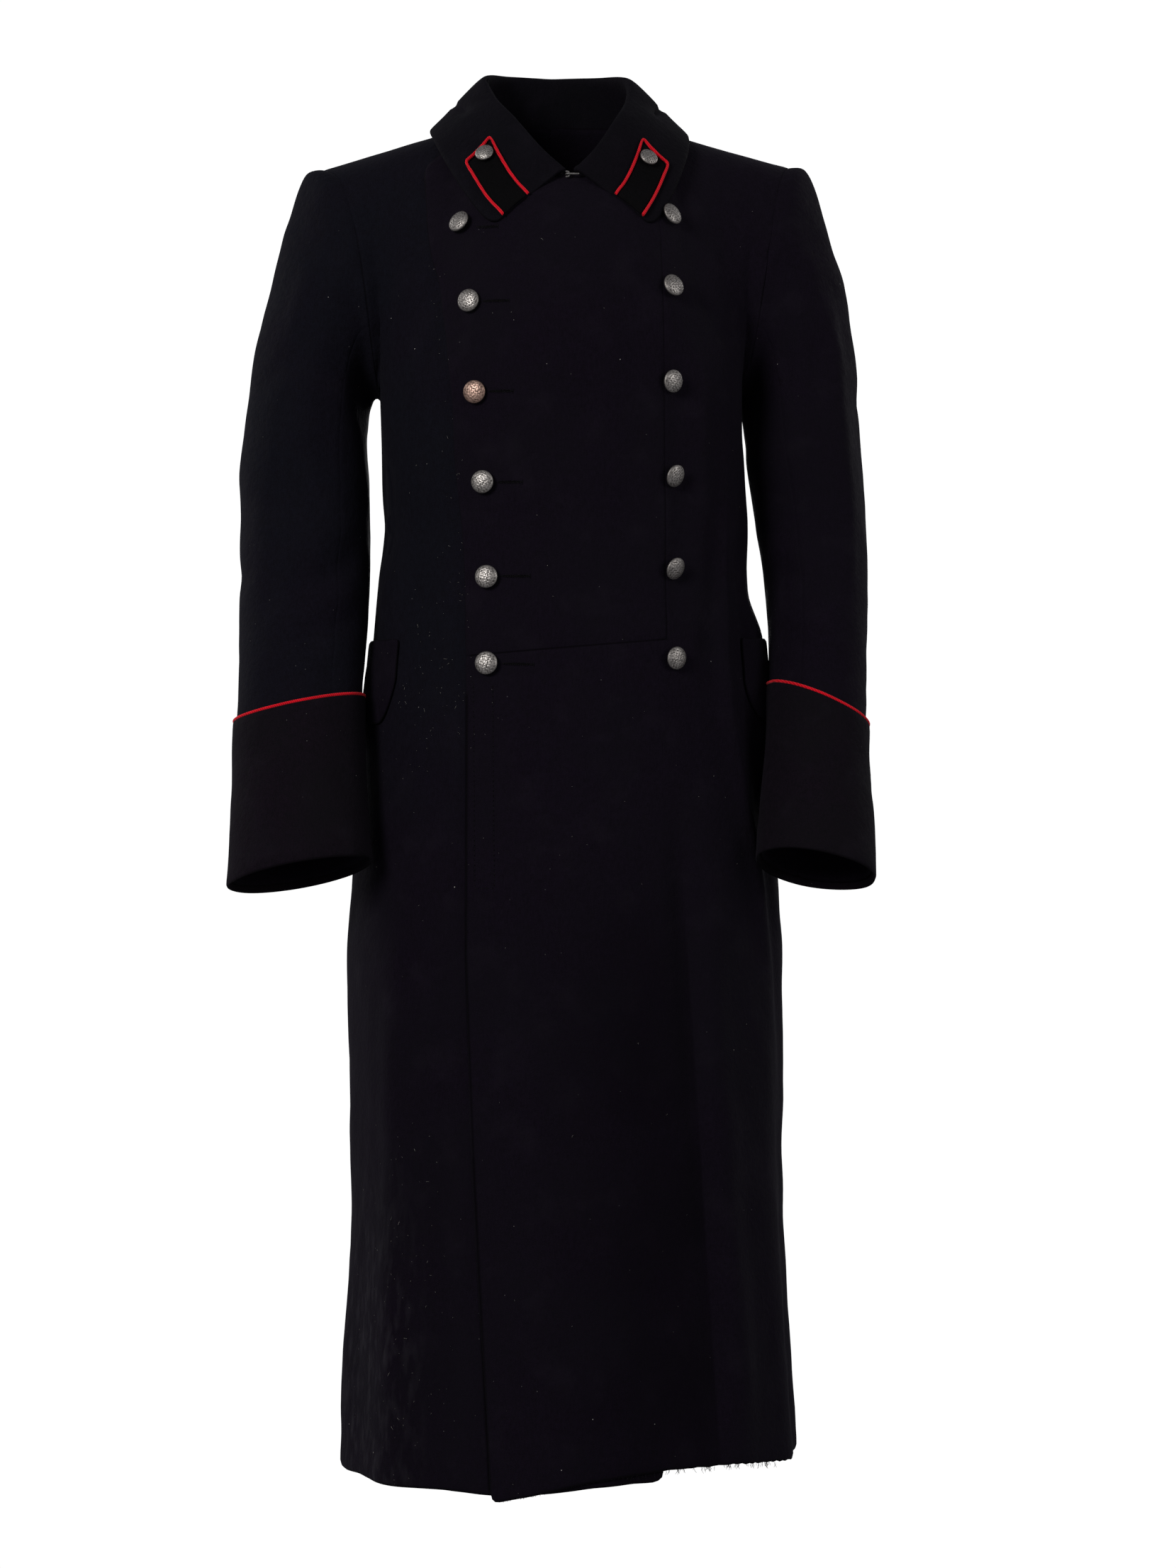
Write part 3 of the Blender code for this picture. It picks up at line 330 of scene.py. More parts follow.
@dataclass
class Drape:
    """The displacement of the cloth, as functions of place alone.

    Args:
        seed: Where the even waves of the cloth start.
    """

    seed: int = 7
    routes: dict = field(default_factory=dict)
    waves: list = field(default_factory=list)

    def __post_init__(self) -> None:
        chance = np.random.default_rng(self.seed)
        for length_mm, height_mm, count in WAVES_MM:
            turns = unit(chance.normal(size=(count, 3)) * np.array(WAVE_LEAN))
            spread = chance.uniform(*WAVE_SPREAD, size=(count, 1))
            phases = chance.uniform(0.0, 2 * math.pi, count)
            self.waves.append((turns * 2 * math.pi / (length_mm * MM) / spread, phases,
                               height_mm * MM * math.sqrt(2.0 / count)))
        self.routes["body"] = [(crease, self.on_body(crease, face))
                               for face, table in ((Face.FRONT, FRONT_CREASES), (Face.BACK, BACK_CREASES))
                               for crease in table]
        for side, table in SLEEVE_CREASES.items():
            self.routes[side] = [(crease, self.on_sleeve(crease, side))
                                 for crease in table + BOTH_SLEEVES]

    @staticmethod
    def girths(height: np.ndarray) -> tuple[np.ndarray, np.ndarray, np.ndarray]:
        """The half width, front and back of the body at these heights."""
        rows = np.array(GIRTHS)
        return tuple(np.interp(height, rows[:, 0], rows[:, i]) for i in (1, 2, 3))

    @staticmethod
    def middle(height: np.ndarray, side: Side) -> np.ndarray:
        """The sleeve's middle at these heights."""
        rows = np.array(sorted(LIMBS[side]))
        held = np.minimum(height, rows[-1, 0])
        out = np.interp(held, rows[:, 0], rows[:, 1]) * side.value
        return np.stack([out, np.interp(held, rows[:, 0], rows[:, 2]), held], axis=-1)

    def on_body(self, crease: Crease, face: Face) -> np.ndarray:
        """A crease's route as points on the body."""
        route = np.array(crease.route)
        width, front, back = self.girths(route[:, 1])
        depth = front if face is Face.FRONT else back
        share = np.clip(np.abs(route[:, 0]) / width, 0.0, WIDEST_SHARE)
        y = face.value * depth * (1.0 - share ** SQUARENESS) ** (1 / SQUARENESS)
        return np.stack([route[:, 0], y, route[:, 1]], axis=-1)

    def on_sleeve(self, crease: Crease, side: Side) -> np.ndarray:
        """A crease's route as points on a sleeve."""
        route = np.array(crease.route)
        turn = np.radians(route[:, 0])
        middle = self.middle(route[:, 1], side)
        middle[:, 0] += side.value * SLEEVE_ACROSS * np.cos(turn)
        middle[:, 1] -= SLEEVE_DEEP * np.sin(turn)
        middle[:, 2] = route[:, 1]
        return middle

    def ripple(self, points: np.ndarray) -> np.ndarray:
        """The cloth's own unevenness at these points, in metres."""
        total = np.zeros(len(points))
        for turns, phases, height in self.waves:
            total += height * np.sin(points @ turns.T + phases).sum(axis=1)
        return total

    @staticmethod
    def along(points: np.ndarray, out: np.ndarray, crease: Crease, route: np.ndarray) -> np.ndarray:
        """What one crease adds at these points, in metres, with distance taken along the cloth."""
        steps = np.linalg.norm(np.diff(route, axis=0), axis=1)
        starts = np.concatenate([[0.0], np.cumsum(steps)])
        nearest = np.full(len(points), np.inf)
        place = np.zeros(len(points))
        for i, step in enumerate(steps):
            line = (route[i + 1] - route[i]) / step
            reach = np.clip((points - route[i]) @ line, 0.0, step)
            gap = points - route[i] - reach[:, None] * line
            through = (gap * out).sum(axis=1)
            away = np.linalg.norm(gap - through[:, None] * out, axis=1)
            away = np.where(np.abs(through) < REACH_THROUGH, away, np.inf)
            closer = away < nearest
            nearest = np.where(closer, away, nearest)
            place = np.where(closer, starts[i] + reach, place)
        share = place / starts[-1]
        fade = smooth(share / FADE_OVER + FADE_FROM) * smooth((1.0 - share) / FADE_OVER + FADE_FROM)
        return crease.depth_mm * MM * fade * np.exp(-((nearest / (crease.width_mm * MM)) ** 2))

    @staticmethod
    def calm(points: np.ndarray) -> np.ndarray:
        """How much of the drape is left at these points, which is little along the armhole seam."""
        rows = np.array(ARMHOLE)
        away = np.abs(np.abs(points[:, 0]) - np.interp(points[:, 2], rows[:, 0], rows[:, 1]))
        below = rise(points[:, 2], *ARMHOLE_FOOT)
        return np.maximum(CALM_LEFT + (1.0 - CALM_LEFT) * smooth(away / CALM_REACH), below)

    @staticmethod
    def hem(points: np.ndarray) -> np.ndarray:
        """How far the front hem dips or lifts, with the raggedness of the raw edge."""
        x, y, z = points.T
        rows = np.array(HEM_DROPS) * (1.0, MM)
        drop = np.interp(x, rows[:, 0], rows[:, 1])
        first, second, slow = RAGGED_PITCHES
        rough = np.sin(x * first + 1.0) + 0.8 * np.sin(x * second) * np.sin(x * slow)
        ragged = rise(x, 0.02, 0.06) * rough * RAGGED_MM * MM
        low = rise(z, -1.02, -1.15)
        edge = rise(z, -1.135, -1.155)
        return (drop * low + ragged * edge) * rise(y, -0.02, -0.07)

    def body(self, points: np.ndarray) -> np.ndarray:
        """How far the drape moves these points of the body.

        Args:
            points: Rows of places.

        Returns:
            Rows of displacements.
        """
        x, y, z = points.T
        width, front, back = self.girths(z)
        depth = np.where(y < 0, front, back)
        out = unit(np.stack([x / width**2, y / depth**2, np.zeros(len(points))], axis=-1))
        high = rise(z, *SHOULDER_FROM)[:, None]
        upward = np.stack([out[:, 0], out[:, 1], np.ones(len(points))], axis=-1)
        out = unit(out * (1.0 - high) + np.array(SHOULDER_LIFT) * upward * high)
        amount = self.ripple(points)
        for crease, route in self.routes["body"]:
            amount += self.along(points, out, crease, route)
        share = QUIET_LEFT + (1.0 - QUIET_LEFT) * rise(z, *QUIET_BELOW)
        moves = out * (amount * share * self.calm(points))[:, None]
        moves[:, 2] += self.hem(points)
        return moves

    @staticmethod
    def collar(points: np.ndarray) -> np.ndarray:
        """How far the collar's front ends hang down, and how its back closes on the neck seam."""
        x, y, z = points.T
        drop = COLLAR_DROP * rise(z, 0.012, -0.053) * rise(y, -0.02, -0.06)
        moves = drop[:, None] * np.array(COLLAR_FALLS)
        out = points * (1.0, 1.0, 0.0)
        beyond = np.linalg.norm(out, axis=1) - NECK_RING - NECK_RING_GROWS * np.abs(x)
        fall = rise(beyond, *FALL_BEYOND)
        closer = COLLAR_CLOSER * fall * rise(y, 0.0, 0.03) * rise(z, 0.035, 0.005)
        foot = (1.0 - fall) * rise(z, 0.030, 0.020) * rise(y, -0.035, -0.005)
        drawn = closer + np.maximum(beyond, 0.0) * COLLAR_DRAWN * foot
        moves -= unit(out) * drawn[:, None]
        moves[:, 2] -= (COLLAR_FOOT + COLLAR_FOOT_GROWS * np.abs(x)) * foot
        return moves

    def sleeve(self, points: np.ndarray, side: Side) -> np.ndarray:
        """How far the drape moves these points of a sleeve or its cuff."""
        out = unit(points - self.middle(points[:, 2], side))
        amount = self.ripple(points)
        for crease, route in self.routes[side]:
            amount += self.along(points, out, crease, route)
        return out * (amount * self.calm(points))[:, None]


# Finishes


@dataclass(frozen=True)
class Wool:
    """A felted wool cloth.

    Args:
        name: The material's name.
        deep: Its darkest tone.
        light: Its lightest tone.
        cast: The tone that its nap drifts to over wide areas.
        sheen: How much light its loose fibres catch.
        lint: How thickly it is strewn with lint, from 0 to 1.
        faded: How far its part above the waist has turned from violet to slate, from 0 to 1.
        nap_mm: How far the nap stands up.
    """

    name: str
    deep: str
    light: str
    cast: str
    sheen: float
    lint: float
    faded: float
    nap_mm: float


@dataclass(frozen=True)
class Metal:
    """A worn metal with tarnish in its hollows."""

    name: str
    bright: str
    tarnish: str
    roughness: float


@dataclass(frozen=True)
class Yarn:
    """A cord or thread of twisted fibres."""

    name: str
    deep: str
    light: str
    twist_mm: float
    sheen: float


BLACK_WOOL = Wool("black_wool", "070409", "0f0a13", "0b090e", 0.03, 1.0, 0.0, 0.40)
FADED_WOOL = Wool("faded_wool", "070409", "0f0a13", "0b090e", 0.03, 1.0, 0.65, 0.40)
CUFF_WOOL = Wool("cuff_wool", "070508", "110b12", "0b0a0c", 0.03, 0.6, 0.0, 0.40)
COLLAR_WOOL = Wool("collar_wool", "050407", "0c090e", "08080a", 0.02, 0.35, 0.2, 0.40)
TAB_VELVET = Wool("tab_velvet", "020202", "070607", "060505", 0.02, 0.1, 0.0, 0.25)
RED_CORD = Yarn("red_cord", "8c060e", "cc1022", 2.6, 0.05)
BLACK_THREAD = Yarn("black_thread", "030204", "0b080d", 0.8, 0.02)
GREY_LINT = Yarn("grey_lint", "4a4846", "8f8b84", 0.5, 0.10)
PEWTER = Metal("pewter_metal", "a09b96", "2b2725", 0.40)
TAWNY = Metal("tawny_metal", "b29485", "352721", 0.40)
WIRE = Metal("wire_metal", "dad6d2", "4a4846", 0.28)


class Line(NamedTuple):
    """A straight dark line on the front, from its upper or left end to its other one."""

    start: tuple[float, float]
    end: tuple[float, float]
    width: float = 0.001
    depth: float = 0.7


# The shadow beside the deep crease: where it starts and is full, and where it is gone
LEE_NEAR = (0.0, 0.0025)
LEE_FAR = (0.15, 0.02)
LEE_OF_CREASE = Line((0.083, -0.57), (0.1155, -1.20))
SEAM_SHADES = (
    Line((-0.0940, -0.4672), (0.0755, -0.4541), 0.0012, 0.85),
    Line((0.0757, -0.110), (0.0753, -0.454), 0.0010, 0.55),
    Line((-0.0960, -0.500), (-0.0995, -0.720), 0.0016, 0.75),
    Line((-0.0995, -0.720), (-0.0955, -0.890), 0.0016, 0.75),
    Line((-0.0955, -0.890), (-0.0855, -1.170), 0.0020, 0.85),
)
LINE_END = 0.002

# Where the cloth is faded, strewn and smeared, as (none, full) along x, y or z
FADED_ABOVE = (-0.66, -0.46)
FADED_RIGHT = (0.02, -0.09)
STREWN_LOW = (-0.98, -1.12)
STREWN_RIGHT = (-0.04, -0.15)
HIP = -0.50
HIP_REACH = 0.10
SMEARED_RIGHT = (-0.130, -0.180)
SMEARED_LOW = (-0.86, -1.02)
SMEARED_FRONT = (0.02, -0.06)
ON_FRONT = (-0.04, -0.06)

RUBBED = "1a161d"
SLATE = ("06060a", "0d0f15")
# the lighter grey of the vertical streaks low on the front of the wearer's right flank
STREAK_TONE = "2b292d"
FINE_LINT = "5c5a58"
COARSE_LINT = "8f8c86"
LEE_TONE = "030104"
SEAM_TONE = "010001"
RIM_TONE = "020102"


class Graph:
    """A material's nodes, with one short call to add one.

    Args:
        name: The material's name.
    """

    def __init__(self, name: str) -> None:
        self.material = bpy.data.materials.new(name)
        self.material.use_nodes = True
        self.nodes = self.material.node_tree.nodes
        self.links = self.material.node_tree.links
        self.surface = self.nodes["Principled BSDF"]
        self.place = self.add("TexCoord").outputs["Object"]

    def add(self, kind: str, inputs: dict | None = None, **settings: object) -> bpy.types.Node:
        """Adds a shader node.

        Args:
            kind: The node's type, without its prefix.
            inputs: A value or an output for each named or numbered input.
            settings: The node's own settings.

        Returns:
            The node.
        """
        made = self.nodes.new("ShaderNode" + kind)
        for key, value in settings.items():
            setattr(made, key, value)
        for key, value in (inputs or {}).items():
            self.join(value, made.inputs[key])
        return made

    def join(self, value: object, socket: bpy.types.NodeSocket) -> None:
        """Links an output to a socket, or sets the socket's value."""
        if isinstance(value, bpy.types.NodeSocket):
            self.links.new(value, socket)
        else:
            socket.default_value = value

    def finish(self, inputs: dict) -> bpy.types.Material:
        """Sets the surface's inputs and gives the material."""
        for key, value in inputs.items():
            self.join(value, self.surface.inputs[key])
        return self.material

    def noise(self, size_mm: float, detail: float = 2.0,
              stretch: Sequence[float] = (1, 1, 1)) -> bpy.types.NodeSocket:
        """Noise whose lumps have this size."""
        scale = tuple(s / (size_mm * MM) for s in stretch)
        scaled = self.add("Mapping", {"Vector": self.place, "Scale": scale})
        lumps = self.add("TexNoise", {"Vector": scaled.outputs[0], "Scale": 1.0, "Detail": detail})
        return lumps.outputs["Fac"]

    def ramp(self, value: object, low: float, high: float, to_low: float = 0.0,
             to_high: float = 1.0) -> bpy.types.NodeSocket:
        """Maps a range onto another, held at its ends."""
        return self.add("MapRange", {"Value": value, "From Min": low, "From Max": high,
                                     "To Min": to_low, "To Max": to_high}).outputs[0]

    def mix(self, share: object, first: object, second: object) -> bpy.types.NodeSocket:
        """Mixes two colours."""
        made = self.add("Mix", data_type="RGBA")
        self.join(share, made.inputs[0])
        self.join(first, made.inputs[6])
        self.join(second, made.inputs[7])
        return made.outputs[2]

    def sum(self, first: object, second: object, how: str = "ADD") -> bpy.types.NodeSocket:
        """Adds two numbers, or joins them in another named way."""
        return self.add("Math", {0: first, 1: second}, operation=how).outputs[0]

    def times(self, first: object, second: object) -> bpy.types.NodeSocket:
        """Multiplies two numbers."""
        return self.sum(first, second, "MULTIPLY")

    def bump(self, height: object, distance_mm: float, strength: float = 1.0,
             under: object = None) -> bpy.types.NodeSocket:
        """A bumped normal, on top of another one if given."""
        made = self.add("Bump", {"Height": height, "Distance": distance_mm * MM, "Strength": strength})
        if under is not None:
            self.links.new(under, made.inputs["Normal"])
        return made.outputs[0]

    def beside(self, place: bpy.types.Node, line: Line, near: tuple[float, float],
               far: tuple[float, float]) -> bpy.types.NodeSocket:
        """A band beside a straight line on the front, from its two edges and its ends.

        Args:
            place: The node that splits the place into x, y and z.
            line: The line, from which the side towards the wearer's right counts as positive.
            near: Where the band starts and is full.
            far: Where it is gone and still full.

        Returns:
            From 0 outside the band to 1 inside it.
        """
        (x, z), (x_end, z_end) = line.start, line.end
        length = math.hypot(x_end - x, z_end - z)
        run_x, run_z = (x_end - x) / length, (z_end - z) / length
        from_x = self.sum(place.outputs[0], x, "SUBTRACT")
        from_z = self.sum(place.outputs[2], z, "SUBTRACT")
        aside = self.sum(self.times(from_x, run_z), self.times(from_z, run_x), "SUBTRACT")
        along = self.sum(self.times(from_x, run_x), self.times(from_z, run_z))
        band = self.times(self.ramp(aside, *near), self.ramp(aside, *far))
        begun = self.ramp(along, -LINE_END, LINE_END)
        ended = self.ramp(along, length + LINE_END, length - LINE_END)
        return self.times(band, self.times(begun, ended))

    def specks(self, cell_mm: float, radius: float, share: object) -> bpy.types.NodeSocket:
        """Scattered round specks: one at most in a cell, in this share of the cells."""
        scaled = self.add("Mapping", {"Vector": self.place, "Scale": (1 / (cell_mm * MM),) * 3})
        cells = self.add("TexVoronoi", {"Vector": scaled.outputs[0], "Scale": 1.0, "Randomness": 1.0})
        tone = self.add("SeparateColor", {0: cells.outputs["Color"]})
        kept = self.sum(tone.outputs[0], share, "LESS_THAN")
        size = self.ramp(tone.outputs[1], 0.0, 1.0, radius * 0.5, radius)
        inside = self.sum(cells.outputs["Distance"], size, "LESS_THAN")
        return self.times(kept, inside)


def dyed(graph: Graph, finish: Wool, tone: object, place: bpy.types.Node) -> bpy.types.NodeSocket:
    """The cloth's own colour: its dye, wide drifts, rubbed places and the slate of its faded part.

    Args:
        graph: The material.
        finish: The cloth.
        tone: From its darkest tone at 0 to its lightest at 1.
        place: The node that splits the place into x, y and z.

    Returns:
        The colour.
    """
    drift = graph.noise(90.0, 2.0)
    rubbed = graph.ramp(graph.noise(34.0, 4.0), 0.54, 0.76, 0.0, 0.20)
    colour = graph.mix(tone, linear(finish.deep), linear(finish.light))
    colour = graph.mix(graph.ramp(drift, 0.36, 0.64, 0.0, 0.5), colour, linear(finish.cast))
    colour = graph.mix(rubbed, colour, linear(RUBBED))
    slate = graph.mix(tone, linear(SLATE[0]), linear(SLATE[1]))
    above = graph.ramp(place.outputs[2], *FADED_ABOVE, 0.0, finish.faded)
    above = graph.times(above, graph.ramp(place.outputs[0], *FADED_RIGHT))
    return graph.mix(graph.times(above, graph.ramp(drift, 0.30, 0.55, 0.6, 1.0)), colour, slate)


def strewn(graph: Graph, finish: Wool, colour: object, place: bpy.types.Node) -> bpy.types.NodeSocket:
    """The colour with lighter grey vertical streaks low on the right, and lint, thickest there and at the
    hip.
    """
    low = graph.ramp(place.outputs[2], *STREWN_LOW)
    right = graph.ramp(place.outputs[0], *STREWN_RIGHT)
    crowd = graph.ramp(graph.noise(60.0, 1.0), 0.42, 0.66, 0.15, 1.0)
    from_hip = graph.sum(graph.sum(place.outputs[2], HIP, "SUBTRACT"), 0.0, "ABSOLUTE")
    hip = graph.ramp(from_hip, 0.0, HIP_REACH, 1.0, 0.0)
    dusty = graph.sum(graph.times(graph.sum(low, hip, "MAXIMUM"), right), 0.10)
    dusty = graph.times(dusty, graph.times(crowd, finish.lint))
    # lighter grey vertical streaks, low on the front of the wearer's right flank
    streaks = graph.ramp(graph.noise(7.0, 5.0, (1.0, 1.0, 0.30)), 0.48, 0.74)
    flank = graph.ramp(place.outputs[0], *SMEARED_RIGHT)
    skirt = graph.ramp(place.outputs[2], *SMEARED_LOW)
    skirt = graph.times(skirt, graph.ramp(place.outputs[1], *SMEARED_FRONT, 0.15, 0.45 * finish.lint))
    colour = graph.mix(graph.times(graph.times(streaks, flank), skirt), colour, linear(STREAK_TONE))
    fine = graph.specks(4.2, 0.11, graph.times(dusty, 0.34))
    coarse = graph.specks(9.0, 0.060, graph.sum(graph.times(dusty, 0.16), 0.035 * finish.lint))
    colour = graph.mix(graph.times(fine, 0.40), colour, linear(FINE_LINT))
    return graph.mix(graph.times(coarse, 0.75), colour, linear(COARSE_LINT))


def shaded(graph: Graph, colour: object, place: bpy.types.Node) -> bpy.types.NodeSocket:
    """The colour, darker beside the deep crease, along the front's seams and on the rims."""
    ahead = graph.ramp(place.outputs[1], *ON_FRONT)
    lee = graph.beside(place, LEE_OF_CREASE, LEE_NEAR, LEE_FAR)
    lee = graph.times(lee, graph.ramp(place.outputs[2], -0.60, -0.80, 0.0, 0.66))
    lee = graph.times(lee, graph.ramp(graph.noise(70.0, 3.0), 0.36, 0.56, 0.60, 1.0))
    colour = graph.mix(graph.times(lee, ahead), colour, linear(LEE_TONE))
    for line in SEAM_SHADES:
        band = graph.beside(place, line, (-line.width, 0.0), (line.width, 0.0))
        colour = graph.mix(graph.times(graph.times(band, ahead), line.depth), colour, linear(SEAM_TONE))
    rim = graph.add("Attribute", attribute_name="rim").outputs["Fac"]
    return graph.mix(graph.ramp(rim, 0.25, 1.0, 0.0, 0.8), colour, linear(RIM_TONE))


def wool_material(finish: Wool) -> bpy.types.Material:
    """A felted cloth: fine nap, matted lumps, wide drifts of tone, lint and lighter streaks."""
    graph = Graph(finish.name)
    nap = graph.noise(0.9, 3.0)
    brushed = graph.noise(1.6, 2.0, (1.0, 1.0, 0.28))
    felt = graph.noise(5.0, 3.0)
    place = graph.add("SeparateXYZ", {0: graph.place})
    tone = graph.sum(graph.times(nap, 0.45), graph.times(felt, 0.35))
    tone = graph.ramp(graph.sum(tone, graph.times(brushed, 0.25)), 0.36, 0.70)
    colour = dyed(graph, finish, tone, place)
    colour = strewn(graph, finish, colour, place)
    colour = shaded(graph, colour, place)
    height = graph.sum(graph.times(nap, 0.5), graph.times(brushed, 0.5))
    normal = graph.bump(height, finish.nap_mm, under=graph.bump(felt, 0.7))
    return graph.finish({
        "Base Color": colour, "Roughness": graph.ramp(felt, 0.3, 0.7, 0.82, 0.95), "Normal": normal,
        "Specular IOR Level": 0.035, "Sheen Weight": finish.sheen, "Sheen Roughness": 0.55,
        "Sheen Tint": linear("8a8794"),
    })


def yarn_material(finish: Yarn) -> bpy.types.Material:
    """Twisted fibres: slanting strands, fuzz and uneven dye."""
    graph = Graph(finish.name)
    scaled = graph.add("Mapping", {"Vector": graph.place, "Scale": (1 / (finish.twist_mm * MM),) * 3,
                                   "Rotation": (0.7, 0.5, 0.3)})
    strands = graph.add("TexWave", {"Vector": scaled.outputs[0], "Scale": 0.5, "Distortion": 1.6,
                                    "Detail": 2.0, "Detail Scale": 1.5}).outputs["Fac"]
    fuzz = graph.noise(0.5, 3.0)
    uneven = graph.noise(12.0, 2.0)
    tone = graph.sum(graph.times(strands, 0.45), graph.times(fuzz, 0.45))
    tone = graph.sum(tone, graph.times(uneven, 0.30))
    colour = graph.mix(graph.ramp(tone, 0.30, 0.85), linear(finish.deep), linear(finish.light))
    height = graph.sum(graph.times(strands, 0.7), graph.times(fuzz, 0.3))
    return graph.finish({
        "Base Color": colour, "Roughness": 0.85, "Specular IOR Level": 0.05,
        "Normal": graph.bump(height, 0.35), "Sheen Weight": finish.sheen, "Sheen Roughness": 0.5,
    })


def metal_material(finish: Metal) -> bpy.types.Material:
    """Worn white metal: bright on what stands out, dark in the hollows, with pits."""
    graph = Graph(finish.name)
    raised = graph.add("Attribute", attribute_name="relief").outputs["Fac"]
    pits = graph.noise(0.6, 4.0)
    stains = graph.noise(1.5, 4.0)
    grime = graph.sum(graph.times(raised, 0.8), graph.times(pits, 0.40))
    grime = graph.sum(grime, graph.times(stains, 0.70))
    shine = graph.ramp(grime, 0.42, 1.50)
    colour = graph.mix(shine, linear(finish.tarnish), linear(finish.bright))
    rough = graph.ramp(shine, 0.0, 1.0, finish.roughness + 0.28, finish.roughness - 0.06)
    return graph.finish({
        "Base Color": colour, "Metallic": 0.92, "Roughness": rough,
        "Normal": graph.bump(pits, 0.12, 0.8),
    })


# Cloth


class Cut(NamedTuple):
    """The flat cut of one cloth piece."""

    node: str
    width: float
    length: float
    finish: Wool


CUTS = (
    Cut("front_left", 0.44, 1.19, BLACK_WOOL),
    Cut("front_right", 0.42, 1.19, FADED_WOOL),
    Cut("plastron", 0.21, 0.47, BLACK_WOOL),
    Cut("back_left", 0.28, 1.22, BLACK_WOOL),
    Cut("back_right", 0.28, 1.22, FADED_WOOL),
    Cut("sleeve_upper_left", 0.24, 0.66, BLACK_WOOL),
    Cut("sleeve_upper_right", 0.24, 0.66, FADED_WOOL),
    Cut("sleeve_under_left", 0.16, 0.53, BLACK_WOOL),
    Cut("sleeve_under_right", 0.16, 0.53, FADED_WOOL),
    Cut("cuff_left", 0.32, 0.16, CUFF_WOOL),
    Cut("cuff_right", 0.35, 0.16, CUFF_WOOL),
    Cut("collar", 0.52, 0.14, COLLAR_WOOL),
    Cut("pocket_flap_left", 0.11, 0.07, BLACK_WOOL),
    Cut("pocket_flap_right", 0.11, 0.07, BLACK_WOOL),
    Cut("collar_tab_left", 0.03, 0.07, TAB_VELVET),
    Cut("collar_tab_right", 0.03, 0.07, TAB_VELVET),
)


def side_of(name: str) -> Side:
    """The wearer's side that a node's name states."""
    return Side.LEFT if name.endswith("left") else Side.RIGHT


def link(name: str, mesh: bpy.types.Mesh, material: bpy.types.Material) -> bpy.types.Object:
    """Makes an object of a mesh, smooth-shaded, in the scene."""
    made = bpy.data.objects.new(name, mesh)
    bpy.context.scene.collection.objects.link(made)
    mesh.materials.clear()
    mesh.materials.append(material)
    mesh.polygons.foreach_set("use_smooth", [True] * len(mesh.polygons))
    return made


def points_of(mesh: bpy.types.Mesh) -> np.ndarray:
    """A mesh's points as rows."""
    flat = np.empty(len(mesh.vertices) * 3)
    mesh.vertices.foreach_get("co", flat)
    return flat.reshape(-1, 3)


def normals_of(mesh: bpy.types.Mesh) -> np.ndarray:
    """A mesh's vertex normals as rows."""
    flat = np.empty(len(mesh.vertices) * 3)
    mesh.vertices.foreach_get("normal", flat)
    return flat.reshape(-1, 3)


